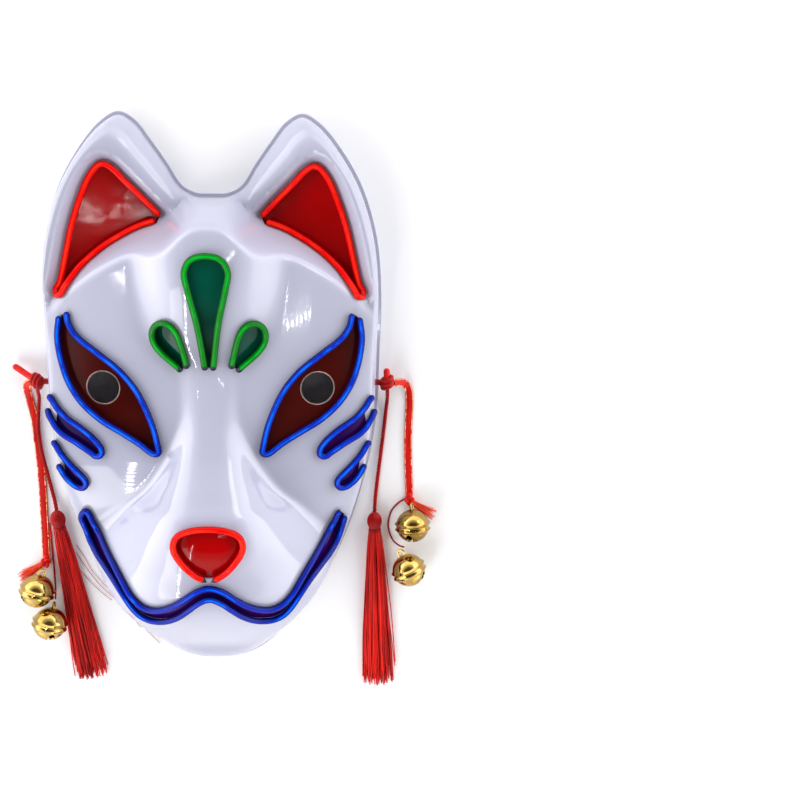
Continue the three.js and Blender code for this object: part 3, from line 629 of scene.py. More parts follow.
# A turned piece round Y, closed at both ends, with ribs lengthways
def latheMesh(name, profile, segments, material, ripple=0.0, ribs=0):
    profile = [(0.0, profile[0][1]), *profile[1:-1], (0.0, profile[-1][1])]
    vertices, faces = [], []
    for radius, along in profile:
        for step in range(segments):
            angle = 2 * math.pi * step / segments
            wide = radius * (1 + ripple * math.cos(ribs * angle)) if ribs else radius
            vertices.append((wide * math.cos(angle) * mm, along * mm, wide * math.sin(angle) * mm))
    for low in range(0, (len(profile) - 1) * segments, segments):
        for step in range(segments):
            after = (step + 1) % segments
            faces.append((low + step, low + after, low + segments + after, low + segments + step))
    piece = addPiece(name, vertices, faces, material)
    sheet = bmesh.new()
    sheet.from_mesh(piece.data)
    bmesh.ops.remove_doubles(sheet, verts=sheet.verts, dist=1e-6)
    bmesh.ops.recalc_face_normals(sheet, faces=sheet.faces)
    sheet.to_mesh(piece.data)
    sheet.free()
    return piece


def roundTube(name, path, radius, material, sides=12, roundEnds=False):
    values = {"Radius": radius * mm, "Sides": sides, "Material": material}
    if roundEnds:
        values["End Rounding"] = radius * mm
        path = fineEnds(path, radius * mm)
    return growMesh(name, tubeTree, path, values)


# Paths
def pathStations(points):
    return np.concatenate([[0], np.cumsum(np.linalg.norm(np.diff(points, axis=0), axis=1))])


def pathLength(path):
    return sum((b - a).length for a, b in zip(path, path[1:]))


def pointsAt(points, stations, places):
    return [Vector([float(np.interp(place, stations, column)) for column in points.T]) for place in places]


# Extra points close to both ends of a path, where a tube's ends are rounded
def fineEnds(path, reach, steps=6):
    points = np.array([tuple(point) for point in path])
    stations = pathStations(points)
    close = reach * (1 - np.cos(np.linspace(0, math.pi / 2, steps + 1)))
    between = stations[(stations > 1.15 * reach) & (stations < stations[-1] - 1.15 * reach)]
    return pointsAt(points, stations, [*close, *between, *(stations[-1] - close[::-1])])


# Smooth curves through a few points
def throughPoints(points, closed=False, perSpan=8):
    points = np.array(points, float)
    count = len(points)
    result = []
    for index in range(count if closed else count - 1):
        here, there = points[index], points[(index + 1) % count]
        before = points[index - 1] if closed or index > 0 else 2 * here - there
        after = points[(index + 2) % count] if closed or index + 2 < count else 2 * there - here
        spans = ((before, here), (here, there), (there, after))
        first, middle, last = (max(math.sqrt(np.linalg.norm(b - a)), 1e-4) for a, b in spans)
        leaving = (here - before) / first - (there - before) / (first + middle) + (there - here) / middle
        coming = (there - here) / middle - (after - here) / (middle + last) + (after - there) / last
        for step in range(perSpan):
            t = step / perSpan
            result.append(
                (2 * t**3 - 3 * t**2 + 1) * here
                + (t**3 - 2 * t**2 + t) * middle * leaving
                + (3 * t**2 - 2 * t**3) * there
                + (t**3 - t**2) * middle * coming
            )
    if not closed:
        result.append(points[-1])
    return np.array(result)


def evenly(points, spacing):
    points = np.asarray(points, float)
    along = pathStations(points)
    stations = np.linspace(0, along[-1], max(2, int(round(along[-1] / spacing)) + 1))
    return np.stack([np.interp(stations, along, column) for column in points.T], axis=1)


def flip(points):
    return [(-point[0], *point[1:]) for point in points]


# Cords first: routes repeated from the solids, counted in millimetres from the chin
cordSizes = {
    "ribbonWidth": 4.0,
    "ribbonThickness": 0.95,
    "stitch": 0.3,
    "stitchLift": 0.38,
    "stitchSpacing": 1.1,
    "tasselCord": 2.0,
    "bellThread": 1.0,
    "plyTurn": 5.5,
    "insideTassel": [(0, 4.2), (8, 4.2), (20, 3.4), (34, 2.6)],  # distance past the head's middle, height
}

sides = {
    "left": {
        "sign": -1,
        "knot": (-87, 150, 9),
        "tagEnd": (-99.5, 156.8, 3),
        "ribbon": [
            (-90.6, 149, 8), (-92.6, 147.4, 5.4), (-93.2, 143.6, 2.2), (-92.4, 138, 0.8), (-90.6, 129, 0.6),
            (-89.6, 118, 0.6), (-88.6, 106, 0.6), (-88, 92, 0.6), (-87.8, 76, 0.6), (-87.6, 64, 0.6),
            (-87.5, 56, 0.6),
        ],
        "tasselCord": [
            (-87.2, 145.9, 8.2), (-87.4, 143.6, 6), (-87.6, 140, 3), (-88.2, 134, 2.1), (-88.6, 124, 2.4),
            (-87.4, 112, 2.5), (-85.4, 102, 1.8), (-83.6, 93, 1.3), (-82, 86, 1.6), (-81.1, 81.6, 2.6),
        ],
        "knob": (-80.3, 76.9),
        "tasselEnd": (-65.6, -10.6),
        "ribbonEnd": (-87.5, 53.2),
        "tailEnd": (-104.5, 42.5),
        "bellThread": [
            (-84.9, 74.6, 2.4), (-84.9, 70, 1.1), (-84.6, 62, 0.7), (-84, 53, 0.7), (-83.7, 46, 0.8),
            (-83.2, 40.6, 2.2), (-82.6, 37, 5.6), (-82.3, 35.6, 8.4),
        ],
        "bells": [
            {"name": "upper", "place": (-91.3, 40.2), "turn": -16, "spin": 40},
            {"name": "lower", "place": (-85.5, 22.4), "turn": -14, "spin": 115},
        ],
    },
    "right": {
        "sign": 1,
        "knot": (87, 150, 9),
        "tagEnd": (86.6, 157.6, 11),
        "ribbon": [
            (90.8, 149.6, 8.2), (93.4, 149.4, 6), (96, 148.4, 3), (98.2, 145.4, 1.2), (99, 139, 0.6),
            (98.8, 130, 0.6), (98.6, 118, 0.6), (98.9, 106, 0.6), (99.4, 96, 0.6), (99.7, 88.4, 0.6),
        ],
        "tasselCord": [
            (87.2, 145.9, 8.2), (87.4, 143.4, 5.6), (87.4, 139.6, 2.6), (86.8, 132, 1.3), (85.6, 120, 1.3),
            (84, 106, 1.3), (82.6, 93, 1.3), (82, 86, 1.8), (81.8, 80.4, 2.8),
        ],
        "knob": (81.7, 75.6),
        "tasselEnd": (84.8, -16),
        "ribbonEnd": (99.8, 86),
        "tailEnd": (115.6, 75.4),
        "bellThread": [
            (97.4, 86.8, 1.8), (94.4, 84.6, 0.8), (90.6, 80, 0.6), (89, 72, 0.6), (91.4, 64.6, 1.2),
            (94.8, 62.6, 5), (97, 62.6, 7.6),
        ],
        "bells": [
            {"name": "upper", "place": (101.2, 74.6), "turn": 4, "spin": 70},
            {"name": "lower", "place": (99.6, 50.6), "turn": 24, "spin": -30},
        ],
    },
}


def laidPath(route, spacing=0.8):
    return [toFrame(*point) for point in evenly(throughPoints(route, perSpan=12), spacing)]


# The tassel's cord runs on through the bound head and down the middle of the skirt
def throughTassel(side):
    knob, end = Vector(side["knob"]), Vector(side["tasselEnd"])
    down = (end - knob).normalized()
    return [(*(knob + down * along), height) for along, height in cordSizes["insideTassel"]]


def makeRibbon(side, label, seed):
    path = laidPath(side["ribbon"])
    width, thickness = cordSizes["ribbonWidth"] * mm, cordSizes["ribbonThickness"] * mm
    values = {"Width": width, "Thickness": thickness, "Material": materials["ribbon"]}
    band = growMesh("ribbon" + label, bandTree, path, values)
    values = {
        "Width": width,
        "Spacing": cordSizes["stitchSpacing"] * mm,
        "Stitch": cordSizes["stitch"] * mm,
        "Lift": cordSizes["stitchLift"] * mm,
        "Seed": seed,
        "Material": materials["gold_thread"],
    }
    stitches = growMesh("stitches" + label, stitchTree, path, values)
    return joinPieces("ribbon" + label, [band, stitches]), path


def makeTwisted(name, path, diameter, turnLength, material):
    values = {"Radius": diameter / 2 * mm, "Turn Length": turnLength * mm, "Material": material}
    return growMesh(name, plyTree, path, values), path


cordPieces = {}
turnLength = cordSizes["plyTurn"]
for seed, (sideName, side) in enumerate(sides.items(), start=11):
    label = sideName.capitalize()
    ribbon = makeRibbon(side, label, seed)
    path = laidPath(side["tasselCord"] + throughTassel(side), 0.4)
    cord = makeTwisted("tasselCord" + label, path, cordSizes["tasselCord"], turnLength, materials["cord"])
    path = laidPath(side["bellThread"], 0.5)
    diameter = cordSizes["bellThread"]
    thread = makeTwisted("bellThread" + label, path, diameter, turnLength / 2, materials["thread"])
    cordPieces[sideName] = {"ribbon": ribbon, "tassel_cord": cord, "bell_thread": thread}
print("cords laid")


# The mask's form, as heights above the rim over its plan
trimHalf = [
    (0, 0), (16, 2.5), (30, 11.5), (44, 27), (56, 45), (66, 66), (74, 90), (79.5, 113), (82.5, 136),
    (83.5, 165), (84, 195), (81.5, 222), (74, 247), (63, 266), (53, 277.5), (44.5, 282), (36.5, 278),
    (29, 268.5), (21, 257), (14.5, 247), (8, 243.4), (0, 243),
]
shoulderHalf = [
    (0, 9), (13, 10.5), (25.5, 18), (39.5, 31.5), (52.8, 47.6), (63.8, 67.4), (71.3, 91), (75.6, 114),
    (77.8, 136.5), (78.5, 165), (79.2, 196), (76, 220.5), (69, 243.5), (61.5, 257), (55, 263.5),
    (49.5, 265), (43.5, 262.5), (37, 255.5), (28.5, 247), (18.5, 240.5), (9.5, 238.3), (0, 238),
]
ridgeHeights = [
    (0, 1), (50, 50.5), (60, 52.5), (80, 57.8), (90, 57.6), (100, 53), (120, 42.5), (140, 35.5),
    (160, 33.6), (185, 40), (209, 45), (245, 46),
]
ridgeWidths = [
    (0, 40), (40, 48), (60, 46), (88, 36), (100, 29), (120, 22), (140, 18), (160, 20), (178, 34), (209, 36),
    (245, 40),
]
cheek = {"jawLevel": 13, "fullLevel": 31, "jawY": 45, "fullY": 115, "sideDrop": 14, "halfWidth": 83.5}
crown = {"centreY": 130, "radius": 104, "level": 7, "slope": 2.4, "tongueReach": 13, "tongueWidth": 18}
earPanel = {"x": 51, "y": 257, "level": 16, "outwardSlope": 0.21, "upwardSlope": 0.06}
earBorder = {"rise": 5.5, "foot": 1.5, "top": 6.5, "lowY": 185, "fullY": 205, "innerX": 5, "outerX": 20}
blends = {"ridge": 6, "crown": 10, "ear": 3}
shellSizes = {
    "wall": 1.4,
    "leastHeight": 6,
    "spacing": 1.9,
    "wallRings": 16,
    "lipWidth": 1.5,
    "lipHeight": 1.4,
    "lipEdge": 0.2,
    "tieHole": {"y": 150, "z": 9, "radius": 2.4, "depth": 300},  # drilled through both sides at once
}

# Wire paths, from one end of each wire to the other
earPath = [
    (24.5, 232.3), (33, 241.3), (41, 249.6), (47, 255.8), (51.5, 257.6), (57, 251.8), (62, 240.5),
    (66, 228.5), (69.2, 215), (71.9, 203), (73.6, 196.6), (72, 193.8), (68, 199.3), (61, 208.3),
    (50.5, 217.5), (42.5, 222.6), (35, 226.6), (26.2, 229.0),
]
eyePath = [
    (68.2, 187.4), (67.7, 182.4), (64, 176), (53.2, 167.5), (43.4, 159.7), (35.7, 150.3), (30.2, 139),
    (26.6, 127.5), (25.6, 118.2), (28.4, 119), (35, 124), (44, 129.6), (53, 135), (62, 143), (68.2, 152.5),
    (71.8, 163.8), (73.2, 174.9), (71.9, 185.2),
]
centreDropHalf = [(1.9, 161.9), (4.9, 184), (8.8, 202), (9.9, 209.5), (7, 215.3), (0, 217.2)]
sideDropPath = [
    (10.2, 162.6), (12.6, 173), (15.2, 180.6), (18.6, 184), (22.8, 183.9), (26, 180.6), (26.4, 175.5),
    (23, 169.4), (13.2, 160.8),
]
nosePathHalf = [(1.9, 61.7), (6.8, 64.8), (12.9, 71.8), (16.1, 78.6), (14.4, 84.2), (8.6, 87.5), (0, 88.6)]
cheekUpperPath = [
    (78.6, 145.6), (75, 139.8), (70, 134.6), (64.4, 131), (59, 127), (54.8, 122.8), (52.8, 118.6),
    (54.6, 116.2), (60, 119.3), (66.4, 123.3), (72.7, 126.8), (76.6, 131), (79.4, 138.2),
]
cheekLowerPath = [
    (77.2, 122.6), (73.8, 116.6), (70, 112.1), (65.8, 107.9), (62, 103.6), (62, 100.2), (65.4, 99.6),
    (69.2, 101.9), (72.6, 105.8), (75.2, 111),
]
mouthUpperHalf = [
    (0, 57.2), (6.5, 55.1), (12, 51.1), (19, 46.3), (25, 43.6), (29.5, 42.9), (34, 44.2), (38, 47.6),
    (41, 51.6), (44.4, 56.8), (48.5, 62.6), (54.2, 70.4), (59.4, 78.4), (63, 86.4),
]
mouthLowerHalf = [
    (0, 51.4), (5.5, 49.2), (10.5, 44.9), (15.5, 40.3), (20.3, 37.2), (25, 35.6), (30, 35.4), (34.6, 37.3),
    (38.2, 41), (41.6, 46), (45, 50.6), (48.8, 55), (53.2, 59.4), (57.8, 64), (61.6, 69.4), (64.4, 77),
    (65.8, 83),
]
pupil = {"x": 52, "y": 150.5, "radius": 8.2, "steps": 48}
eyeCorner = (25.6, 118.2)


def halfToPath(half):
    return half + flip(half[:-1][::-1])


outlineOf = {
    "forehead_centre": halfToPath(centreDropHalf),
    "nose": halfToPath(nosePathHalf),
    "mouth": mouthUpperHalf[:0:-1] + flip(mouthUpperHalf) + flip(mouthLowerHalf[:0:-1]) + mouthLowerHalf,
}
for sideName, turned in (("left", flip), ("right", list)):
    outlineOf["ear_" + sideName] = turned(earPath)
    outlineOf["eye_" + sideName] = turned(eyePath)
    outlineOf["forehead_" + sideName] = turned(sideDropPath)
    outlineOf["cheek_upper_" + sideName] = turned(cheekUpperPath)
    outlineOf["cheek_lower_" + sideName] = turned(cheekLowerPath)

# For each kind of opening: its window, that window's film, how far it laps behind the edge, and its wire's
# sleeve. A wire's dark tips of painted shade are at its ends, or meet in the eye's corner
openingKinds = {
    "ear": {"window": "ear_window", "film": "window_red", "lap": 1.6, "sleeve": "wire_red"},
    "eye": {"window": "eye_lens", "film": "lens_smoked", "lap": 1.6, "sleeve": "wire_blue"},
    "forehead": {"window": "forehead_window", "film": "window_green", "lap": 1.0, "sleeve": "wire_green"},
    "nose": {"window": "nose_window", "film": "window_red", "lap": 1.0, "sleeve": "wire_red"},
    "cheek": {"window": "cheek_window", "film": "window_violet", "lap": -0.05, "sleeve": "wire_blue"},
    "mouth": {"window": "mouth_window", "film": "window_violet", "lap": -0.05, "sleeve": "wire_blue"},
}
tipsAt = {"eye": "corner", "forehead": "ends", "nose": "ends"}


def openingLoop(name, spacing=1.6):
    path = outlineOf[name]
    if name.startswith("cheek"):
        path = path[1:-1]  # the window ends before the side wall, where the wire runs on
    return evenly(throughPoints(path, perSpan=10), spacing)


def smoothStep(low, high, value):
    share = np.clip((value - low) / (high - low), 0, 1)
    return share * share * (3 - 2 * share)


def smoothMax(a, b, blend):
    share = np.clip(0.5 + 0.5 * (a - b) / blend, 0, 1)
    return b + (a - b) * share + blend * share * (1 - share)


def stationValue(stations, place):
    places = np.array([s[0] for s in stations], float)
    values = np.array([s[1] for s in stations], float)
    gaps = np.diff(places)
    slopes = np.diff(values) / gaps
    product = slopes[:-1] * slopes[1:]
    tangents = np.zeros(len(places))
    total = np.where(product > 0, slopes[:-1] + slopes[1:], 1)
    tangents[1:-1] = np.where(product > 0, 2 * product / total, 0)
    tangents[0], tangents[-1] = slopes[0], slopes[-1]
    index = np.clip(np.searchsorted(places, place, side="right") - 1, 0, len(gaps) - 1)
    share = np.clip((place - places[index]) / gaps[index], 0, 1)
    rest = 1 - share
    return (
        values[index] * rest * rest * (1 + 2 * share)
        + values[index + 1] * share * share * (3 - 2 * share)
        + tangents[index] * gaps[index] * share * rest * rest
        - tangents[index + 1] * gaps[index] * share * share * rest
    )


def distanceTo(points, loop):
    nearest = np.full(len(points), np.inf)
    for start, end in zip(loop, np.roll(loop, -1, axis=0)):
        run = end - start
        share = np.clip(((points - start) @ run) / max(run @ run, 1e-9), 0, 1)
        gap = points - start - share[:, None] * run
        nearest = np.minimum(nearest, np.hypot(gap[:, 0], gap[:, 1]))
    return nearest


def areInside(points, loop):
    inside = np.zeros(len(points), bool)
    for start, end in zip(loop, np.roll(loop, -1, axis=0)):
        crosses = (start[1] > points[:, 1]) != (end[1] > points[:, 1])
        rise = end[1] - start[1] if end[1] != start[1] else 1
        edgeX = start[0] + (end[0] - start[0]) * (points[:, 1] - start[1]) / rise
        inside ^= crosses & (points[:, 0] < edgeX)
    return inside


def grownLoop(loop, by):
    before, after = np.roll(loop, 1, axis=0), np.roll(loop, -1, axis=0)
    along = after - before
    along /= np.linalg.norm(along, axis=1)[:, None]
    turning = np.sum(loop[:, 0] * after[:, 1] - after[:, 0] * loop[:, 1])
    outward = np.stack([along[:, 1], -along[:, 0]], axis=1)
    return loop + by * math.copysign(1, turning) * outward


earLoop = openingLoop("ear_right")
shoulderLoop = throughPoints(shoulderHalf + flip(shoulderHalf[1:-1][::-1]), closed=True)
trimLoop = throughPoints(trimHalf + flip(trimHalf[1:-1][::-1]), closed=True)


def panelHeight(side, y):
    slope = earPanel["outwardSlope"] * (side - earPanel["x"]) + earPanel["upwardSlope"] * (y - earPanel["y"])
    return earPanel["level"] + slope


def faceHeight(x, y):
    x, y = np.atleast_1d(np.asarray(x, float)), np.atleast_1d(np.asarray(y, float))
    side = np.abs(x)
    full = smoothStep(cheek["jawY"], cheek["fullY"], y)
    cheekLevel = cheek["jawLevel"] + (cheek["fullLevel"] - cheek["jawLevel"]) * full
    cheekHeight = cheekLevel - cheek["sideDrop"] * (side / cheek["halfWidth"]) ** 2.8
    ridge = stationValue(ridgeHeights, y) * np.exp(-0.5 * (side / stationValue(ridgeWidths, y)) ** 3)
    fromCrown = np.hypot(side, np.maximum(0, y - crown["centreY"]))
    tongue = crown["tongueReach"] * np.exp(-((side / crown["tongueWidth"]) ** 3))
    crownHeight = crown["level"] + crown["slope"] * (crown["radius"] + tongue - fromCrown)
    face = -smoothMax(-smoothMax(cheekHeight, ridge, blends["ridge"]), -crownHeight, blends["crown"])
    places = np.stack([side, y], axis=1)
    outside = np.where(areInside(places, earLoop), 0, distanceTo(places, earLoop))
    border = smoothStep(earBorder["foot"], earBorder["top"], outside)
    border = border * smoothStep(earBorder["lowY"], earBorder["fullY"], y)
    ear = panelHeight(side, y) + earBorder["rise"] * border
    ear = ear * smoothStep(earBorder["innerX"], earBorder["outerX"], side)
    return np.maximum(shellSizes["leastHeight"], smoothMax(face, ear, blends["ear"]))


def faceSlopes(x, y, step=0.4):
    slopeX = (faceHeight(x + step, y) - faceHeight(x - step, y)) / (2 * step)
    slopeY = (faceHeight(x, y + step) - faceHeight(x, y - step)) / (2 * step)
    return slopeX, slopeY


def faceNormal(x, y):
    slopeX, slopeY = faceSlopes(x, y)
    return Vector((-float(slopeX[0]), -float(slopeY[0]), 1)).normalized()


def overPlan(plan, heights):
    return [toFrame(x, y, z) for (x, y), z in zip(plan, heights)]


# A plan mesh inside an outline, with holes
def planMesh(outline, holes, spacing):
    low, high = outline.min(axis=0), outline.max(axis=0)
    rows = np.arange(low[1], high[1], spacing * math.sqrt(3) / 2)
    columns = np.arange(low[0], high[0], spacing)
    if low[0] < 0 < high[0]:
        columns = np.arange(0, high[0] + spacing, spacing)
        columns = np.concatenate([-columns[:0:-1], columns])
    lattice = np.array([(x + (row % 2) * spacing / 2, y) for row, y in enumerate(rows) for x in columns])
    keep = areInside(lattice, outline)
    for loop in [outline, *holes]:
        keep &= distanceTo(lattice, loop) > 0.55 * spacing
    for hole in holes:
        keep &= ~areInside(lattice, hole)
    points, edges = [], []
    for loop in [outline, *holes]:
        start = len(points)
        points.extend(loop)
        edges.extend((start + i, start + (i + 1) % len(loop)) for i in range(len(loop)))
    points.extend(lattice[keep])
    flat = [Vector((float(x), float(y))) for x, y in points]
    vertices, _, faces, _, _, _ = delaunay_2d_cdt(flat, edges, [], 0, 1e-5)
    vertices = np.array([tuple(vertex) for vertex in vertices])
    faces = np.array(faces)
    centres = vertices[faces].mean(axis=1)
    kept = areInside(centres, outline)
    for hole in holes:
        kept &= ~areInside(centres, hole)
    faces = faces[kept]
    corner = vertices[faces]
    turn = np.cross(corner[:, 1] - corner[:, 0], corner[:, 2] - corner[:, 0])
    faces[turn < 0] = faces[turn < 0][:, ::-1]
    return vertices, faces.tolist()


def makeShell(sizes):
    holes = [openingLoop(name) for name in outlineOf]
    plan, faces = planMesh(shoulderLoop, holes, sizes["spacing"])
    count = len(shoulderLoop)
    lip = sizes["lipHeight"]
    foot = grownLoop(trimLoop, -sizes["lipWidth"])
    rows = [
        (trimLoop, np.zeros(count)),
        (trimLoop, np.full(count, lip - sizes["lipEdge"])),
        (grownLoop(trimLoop, -sizes["lipEdge"]), np.full(count, lip)),
    ]
    for ring in range(sizes["wallRings"]):
        angle = math.pi / 2 * ring / sizes["wallRings"]
        places = foot + (shoulderLoop - foot) * (1 - math.cos(angle))
        rows.append((places, lip + (faceHeight(*places.T) - lip) * math.sin(angle)))
    points = [(x, y, z) for (x, y), z in zip(plan, faceHeight(*plan.T))]
    rings = []
    for places, levels in rows:
        rings.append(range(len(points), len(points) + count))
        points.extend((x, y, z) for (x, y), z in zip(places, levels))
    rings.append(range(count))
    for outer, inner in zip(rings, rings[1:]):
        for i in range(count):
            j = (i + 1) % count
            faces.append((outer[i], outer[j], inner[j], inner[i]))
    shell = addPiece("maskShell", [toFrame(*point) for point in points], faces, materials["shell_white"])
    thicken(shell, sizes["wall"])
    hole = sizes["tieHole"]
    bore = bmesh.new()
    addBore(bore, hole["radius"], hole["depth"], 24, "Y", toFrame(0, hole["y"], hole["z"]))
    cutAway(shell, [pieceFromSheet("drill", bore)])
    shell.data.set_sharp_from_angle(angle=math.radians(40))
    return shell, BVHTree.FromPolygons(points, faces)


maskShell, shellProbe = makeShell(shellSizes)
finishPiece(maskShell, "mask_shell")
print("shell made,", len(maskShell.data.polygons), "faces")


# Tinted windows, lapped behind their openings or laid into them
windowSizes = {
    "gap": 0.25,
    "thickness": 0.8,
    "spacing": 2.2,
    "edgeSpacing": 2.0,
    "noseDome": 1.6,
    "inlaidDepth": 0.5,  # cheek and mouth windows fill their openings almost flush
    "cutEdgePaintedHighlight": 0.24,
}


def windowHeight(name, plan):
    x, y = plan.T
    behind = shellSizes["wall"] + windowSizes["gap"]
    if name.startswith("ear"):
        return panelHeight(np.abs(x), y) - behind
    slopeX, slopeY = faceSlopes(x, y)
    depth = windowSizes["inlaidDepth"] if name.startswith(("cheek", "mouth")) else behind
    level = faceHeight(x, y) - depth * np.sqrt(1 + slopeX**2 + slopeY**2)
    if name == "nose":
        far = np.hypot(*(plan - plan.mean(axis=0)).T)
        level = level + windowSizes["noseDome"] * np.maximum(0, 1 - (far / far.max()) ** 2)
    return level


def pupilLoop(name):
    loop = np.array(ovalArc(pupil["radius"], pupil["radius"], 0, 2 * math.pi, pupil["steps"]))
    return loop + (-pupil["x"] if name.endswith("left") else pupil["x"], pupil["y"])


def makeWindow(name, lap, material):
    holes = [pupilLoop(name)] if name.startswith("eye") else []
    outline = grownLoop(openingLoop(name, windowSizes["edgeSpacing"]), lap)
    plan, faces = planMesh(outline, [hole[:-1] for hole in holes], windowSizes["spacing"])
    piece = addPiece("window_" + name, overPlan(plan, windowHeight(name, plan)), faces, material)
    thicken(piece, windowSizes["thickness"])
    settleModifiers(piece)
    piece.data.set_sharp_from_angle(angle=math.radians(40))
    # A pale ring of painted highlight round each viewing hole's cut edge
    for hole in holes:
        edge = overPlan(hole, windowHeight(name, hole))
        ring = roundTube("cutEdgePaintedHighlight", edge, windowSizes["cutEdgePaintedHighlight"], materials["cut_edge_painted_highlight"], 8)
        piece = joinPieces(piece.name, [piece, ring])
    return piece


for name in outlineOf:
    family = name.partition("_")[0]
    kind = openingKinds[family]
    window = makeWindow(name, kind["lap"], materials[kind["film"]])
    finishPiece(window, kind["window"] + name[len(family):])
print("windows made")


# Glowing wires over the edges of the openings
wireSizes = {
    "radius": 1.6,
    "lift": 1.5,
    "sides": 18,
    "step": 3.0,  # between the places where the wire is set on the surface
    "spacing": 0.7,
    "tipLength": 2.4,
    "tipGrowth": 0.07,
}


def onSurface(x, y, lift):
    inside = areInside(np.array([[x, y]]), shoulderLoop)[0]
    if inside:
        return Vector((x, y, float(faceHeight(x, y)[0]))) + faceNormal(x, y) * lift
    hit, normal, _, _ = shellProbe.ray_cast(Vector((x, y, 200)), Vector((0, 0, -1)))
    if hit is None:
        return Vector((x, y, 0))
    return hit + normal * lift


# Where a wire has a dark tip of painted shade: lengths along its path, in metres
def tipPlaces(name, tips, path):
    whole = pathLength(path)
    length = wireSizes["tipLength"] * mm
    if tips == "ends":
        return [(0.0, length), (whole - length, whole)]
    if tips == "corner":
        sign = -1 if name.endswith("left") else 1
        corner = toFrame(sign * eyeCorner[0], eyeCorner[1], 0)
        nearest = min(range(len(path)), key=lambda i: (path[i].xy - corner.xy).length)
        middle = pathLength(path[:nearest + 1])
        return [(middle - length / 2, middle + length / 2)]
    return []


def makeWire(name, tips, material):
    plan = evenly(throughPoints(outlineOf[name], perSpan=10), wireSizes["step"])
    route = [tuple(onSurface(float(x), float(y), wireSizes["lift"])) for x, y in plan]
    path = [toFrame(*point) for point in evenly(throughPoints(route, perSpan=5), wireSizes["spacing"])]
    pieces = [roundTube("wire_" + name, path, wireSizes["radius"], material, wireSizes["sides"], True)]
    points = np.array([tuple(point) for point in path])
    # Dark tubes of painted shade over these stretches of the wire
    for low, high in tipPlaces(name, tips, path):
        covered = pointsAt(points, pathStations(points), np.linspace(low, high, 10))
        radius = wireSizes["radius"] + wireSizes["tipGrowth"]
        pieces.append(roundTube("tip", covered, radius, materials["tip"], wireSizes["sides"], True))
    return joinPieces("wire_" + name, pieces)


for name in outlineOf:
    family = name.partition("_")[0]
    kind = openingKinds[family]
    wire = makeWire(name, tipsAt.get(family), materials[kind["sleeve"]])
    finishPiece(wire, family + "_wire" + name[len(family):])
print("wires laid")


# Knots in the side holes: a ribbed body under slanting wraps, a waist through the hole, a bead behind it
# and a stub
knotSizes = {
    "radius": 2.9,
    "half": 3.9,
    "ripple": 0.06,
    "ribs": 8,
    "wraps": (-1.9, 0.0, 1.9),
    "wrapRadius": 0.95,
    "lean": 0.35,
    "waist": (76, 86),
    "waistRadius": 1.5,
    "beadHalf": 1.3,
    "beadRadius": 3.0,
    "stub": 1.6,
}


def makeTieKnot(side, label, sizes):
    satin = materials["cord"]
    start, tip = Vector(side["knot"]), Vector(side["tagEnd"])
    turn = Vector((0, 1, 0)).rotation_difference((tip - start).normalized()).to_matrix()
    profile = ovalArc(sizes["radius"], sizes["half"], -math.pi / 2, math.pi / 2, 14)
    body = latheMesh("knotBody", profile, 40, satin, sizes["ripple"], sizes["ribs"])
    pieces = [moveMesh(body, Matrix.Translation(toFrame(*start)) @ turn.to_4x4())]
    for place in sizes["wraps"]:
        radius = sizes["radius"] * math.sqrt(1 - (place / sizes["half"]) ** 2)
        wrap = []
        for across, upward in ovalArc(radius, radius, 0, 2 * math.pi, 28):
            wrap.append(toFrame(*(start + turn @ Vector((across, place + sizes["lean"] * across, upward)))))
        pieces.append(roundTube("knotWrap", wrap, sizes["wrapRadius"], satin, 10))
    inner, outer = (Vector((side["sign"] * x, start.y, start.z)) for x in sizes["waist"])
    half = Vector((0, sizes["beadHalf"], 0))
    pieces.append(roundTube("knotWaist", straightPath(inner, outer, 6), sizes["waistRadius"], satin))
    bead = straightPath(inner - half, inner + half, 6)
    pieces.append(roundTube("knotBead", bead, sizes["beadRadius"], satin, 16, True))
    stub = straightPath(start, tip, 8)
    pieces.append(roundTube("knotStub", stub, sizes["stub"], materials["ribbon"], 14, True))
    return joinPieces("tieKnot" + label, pieces)


# A tassel: a bound head and a skirt of cut threads. Places along it count from the head's middle
tasselSizes = {
    "headRadius": 3.7,
    "headLength": 4.9,  # from its middle to its tip
    "headHeight": 4.4,
    "headAngle": 128,
    "headRibs": 36,
    "ripple": 0.045,
    "neckRadius": 2.9,
    "neckEnd": 5.2,
    "headEnd": 6.5,
    "bindingTurns": 3,
    "bindingRadius": 0.3,
    "bindingGap": 0.1,
    "bindingFrom": 4.3,
    "bindingLength": 1.5,
    "skirtFrom": 5.0,
    "threads": 270,
    "threadRadius": 0.27,
    "spread": 7.4,
    "pile": 4.6,
    "strands": 6.0,
    "strayRadius": 0.13,
}

# A few long threads have slipped out of the left tassel and lie along the rim
strayThreads = [
    [
        (-72, 62), (-67.9, 54.8), (-64.6, 48.2), (-56.6, 38.3), (-49.6, 31.7), (-45.6, 26.7),
        (-38.1, 16.1), (-30.4, 7.6),
    ],
    [(-72.4, 58), (-66.8, 48.6), (-60.6, 40), (-53.2, 32.6), (-46.4, 24.6), (-40, 16.6)],
    [(-72, 50), (-64.3, 40.6), (-59.4, 35.6), (-54.8, 31.7)],
]


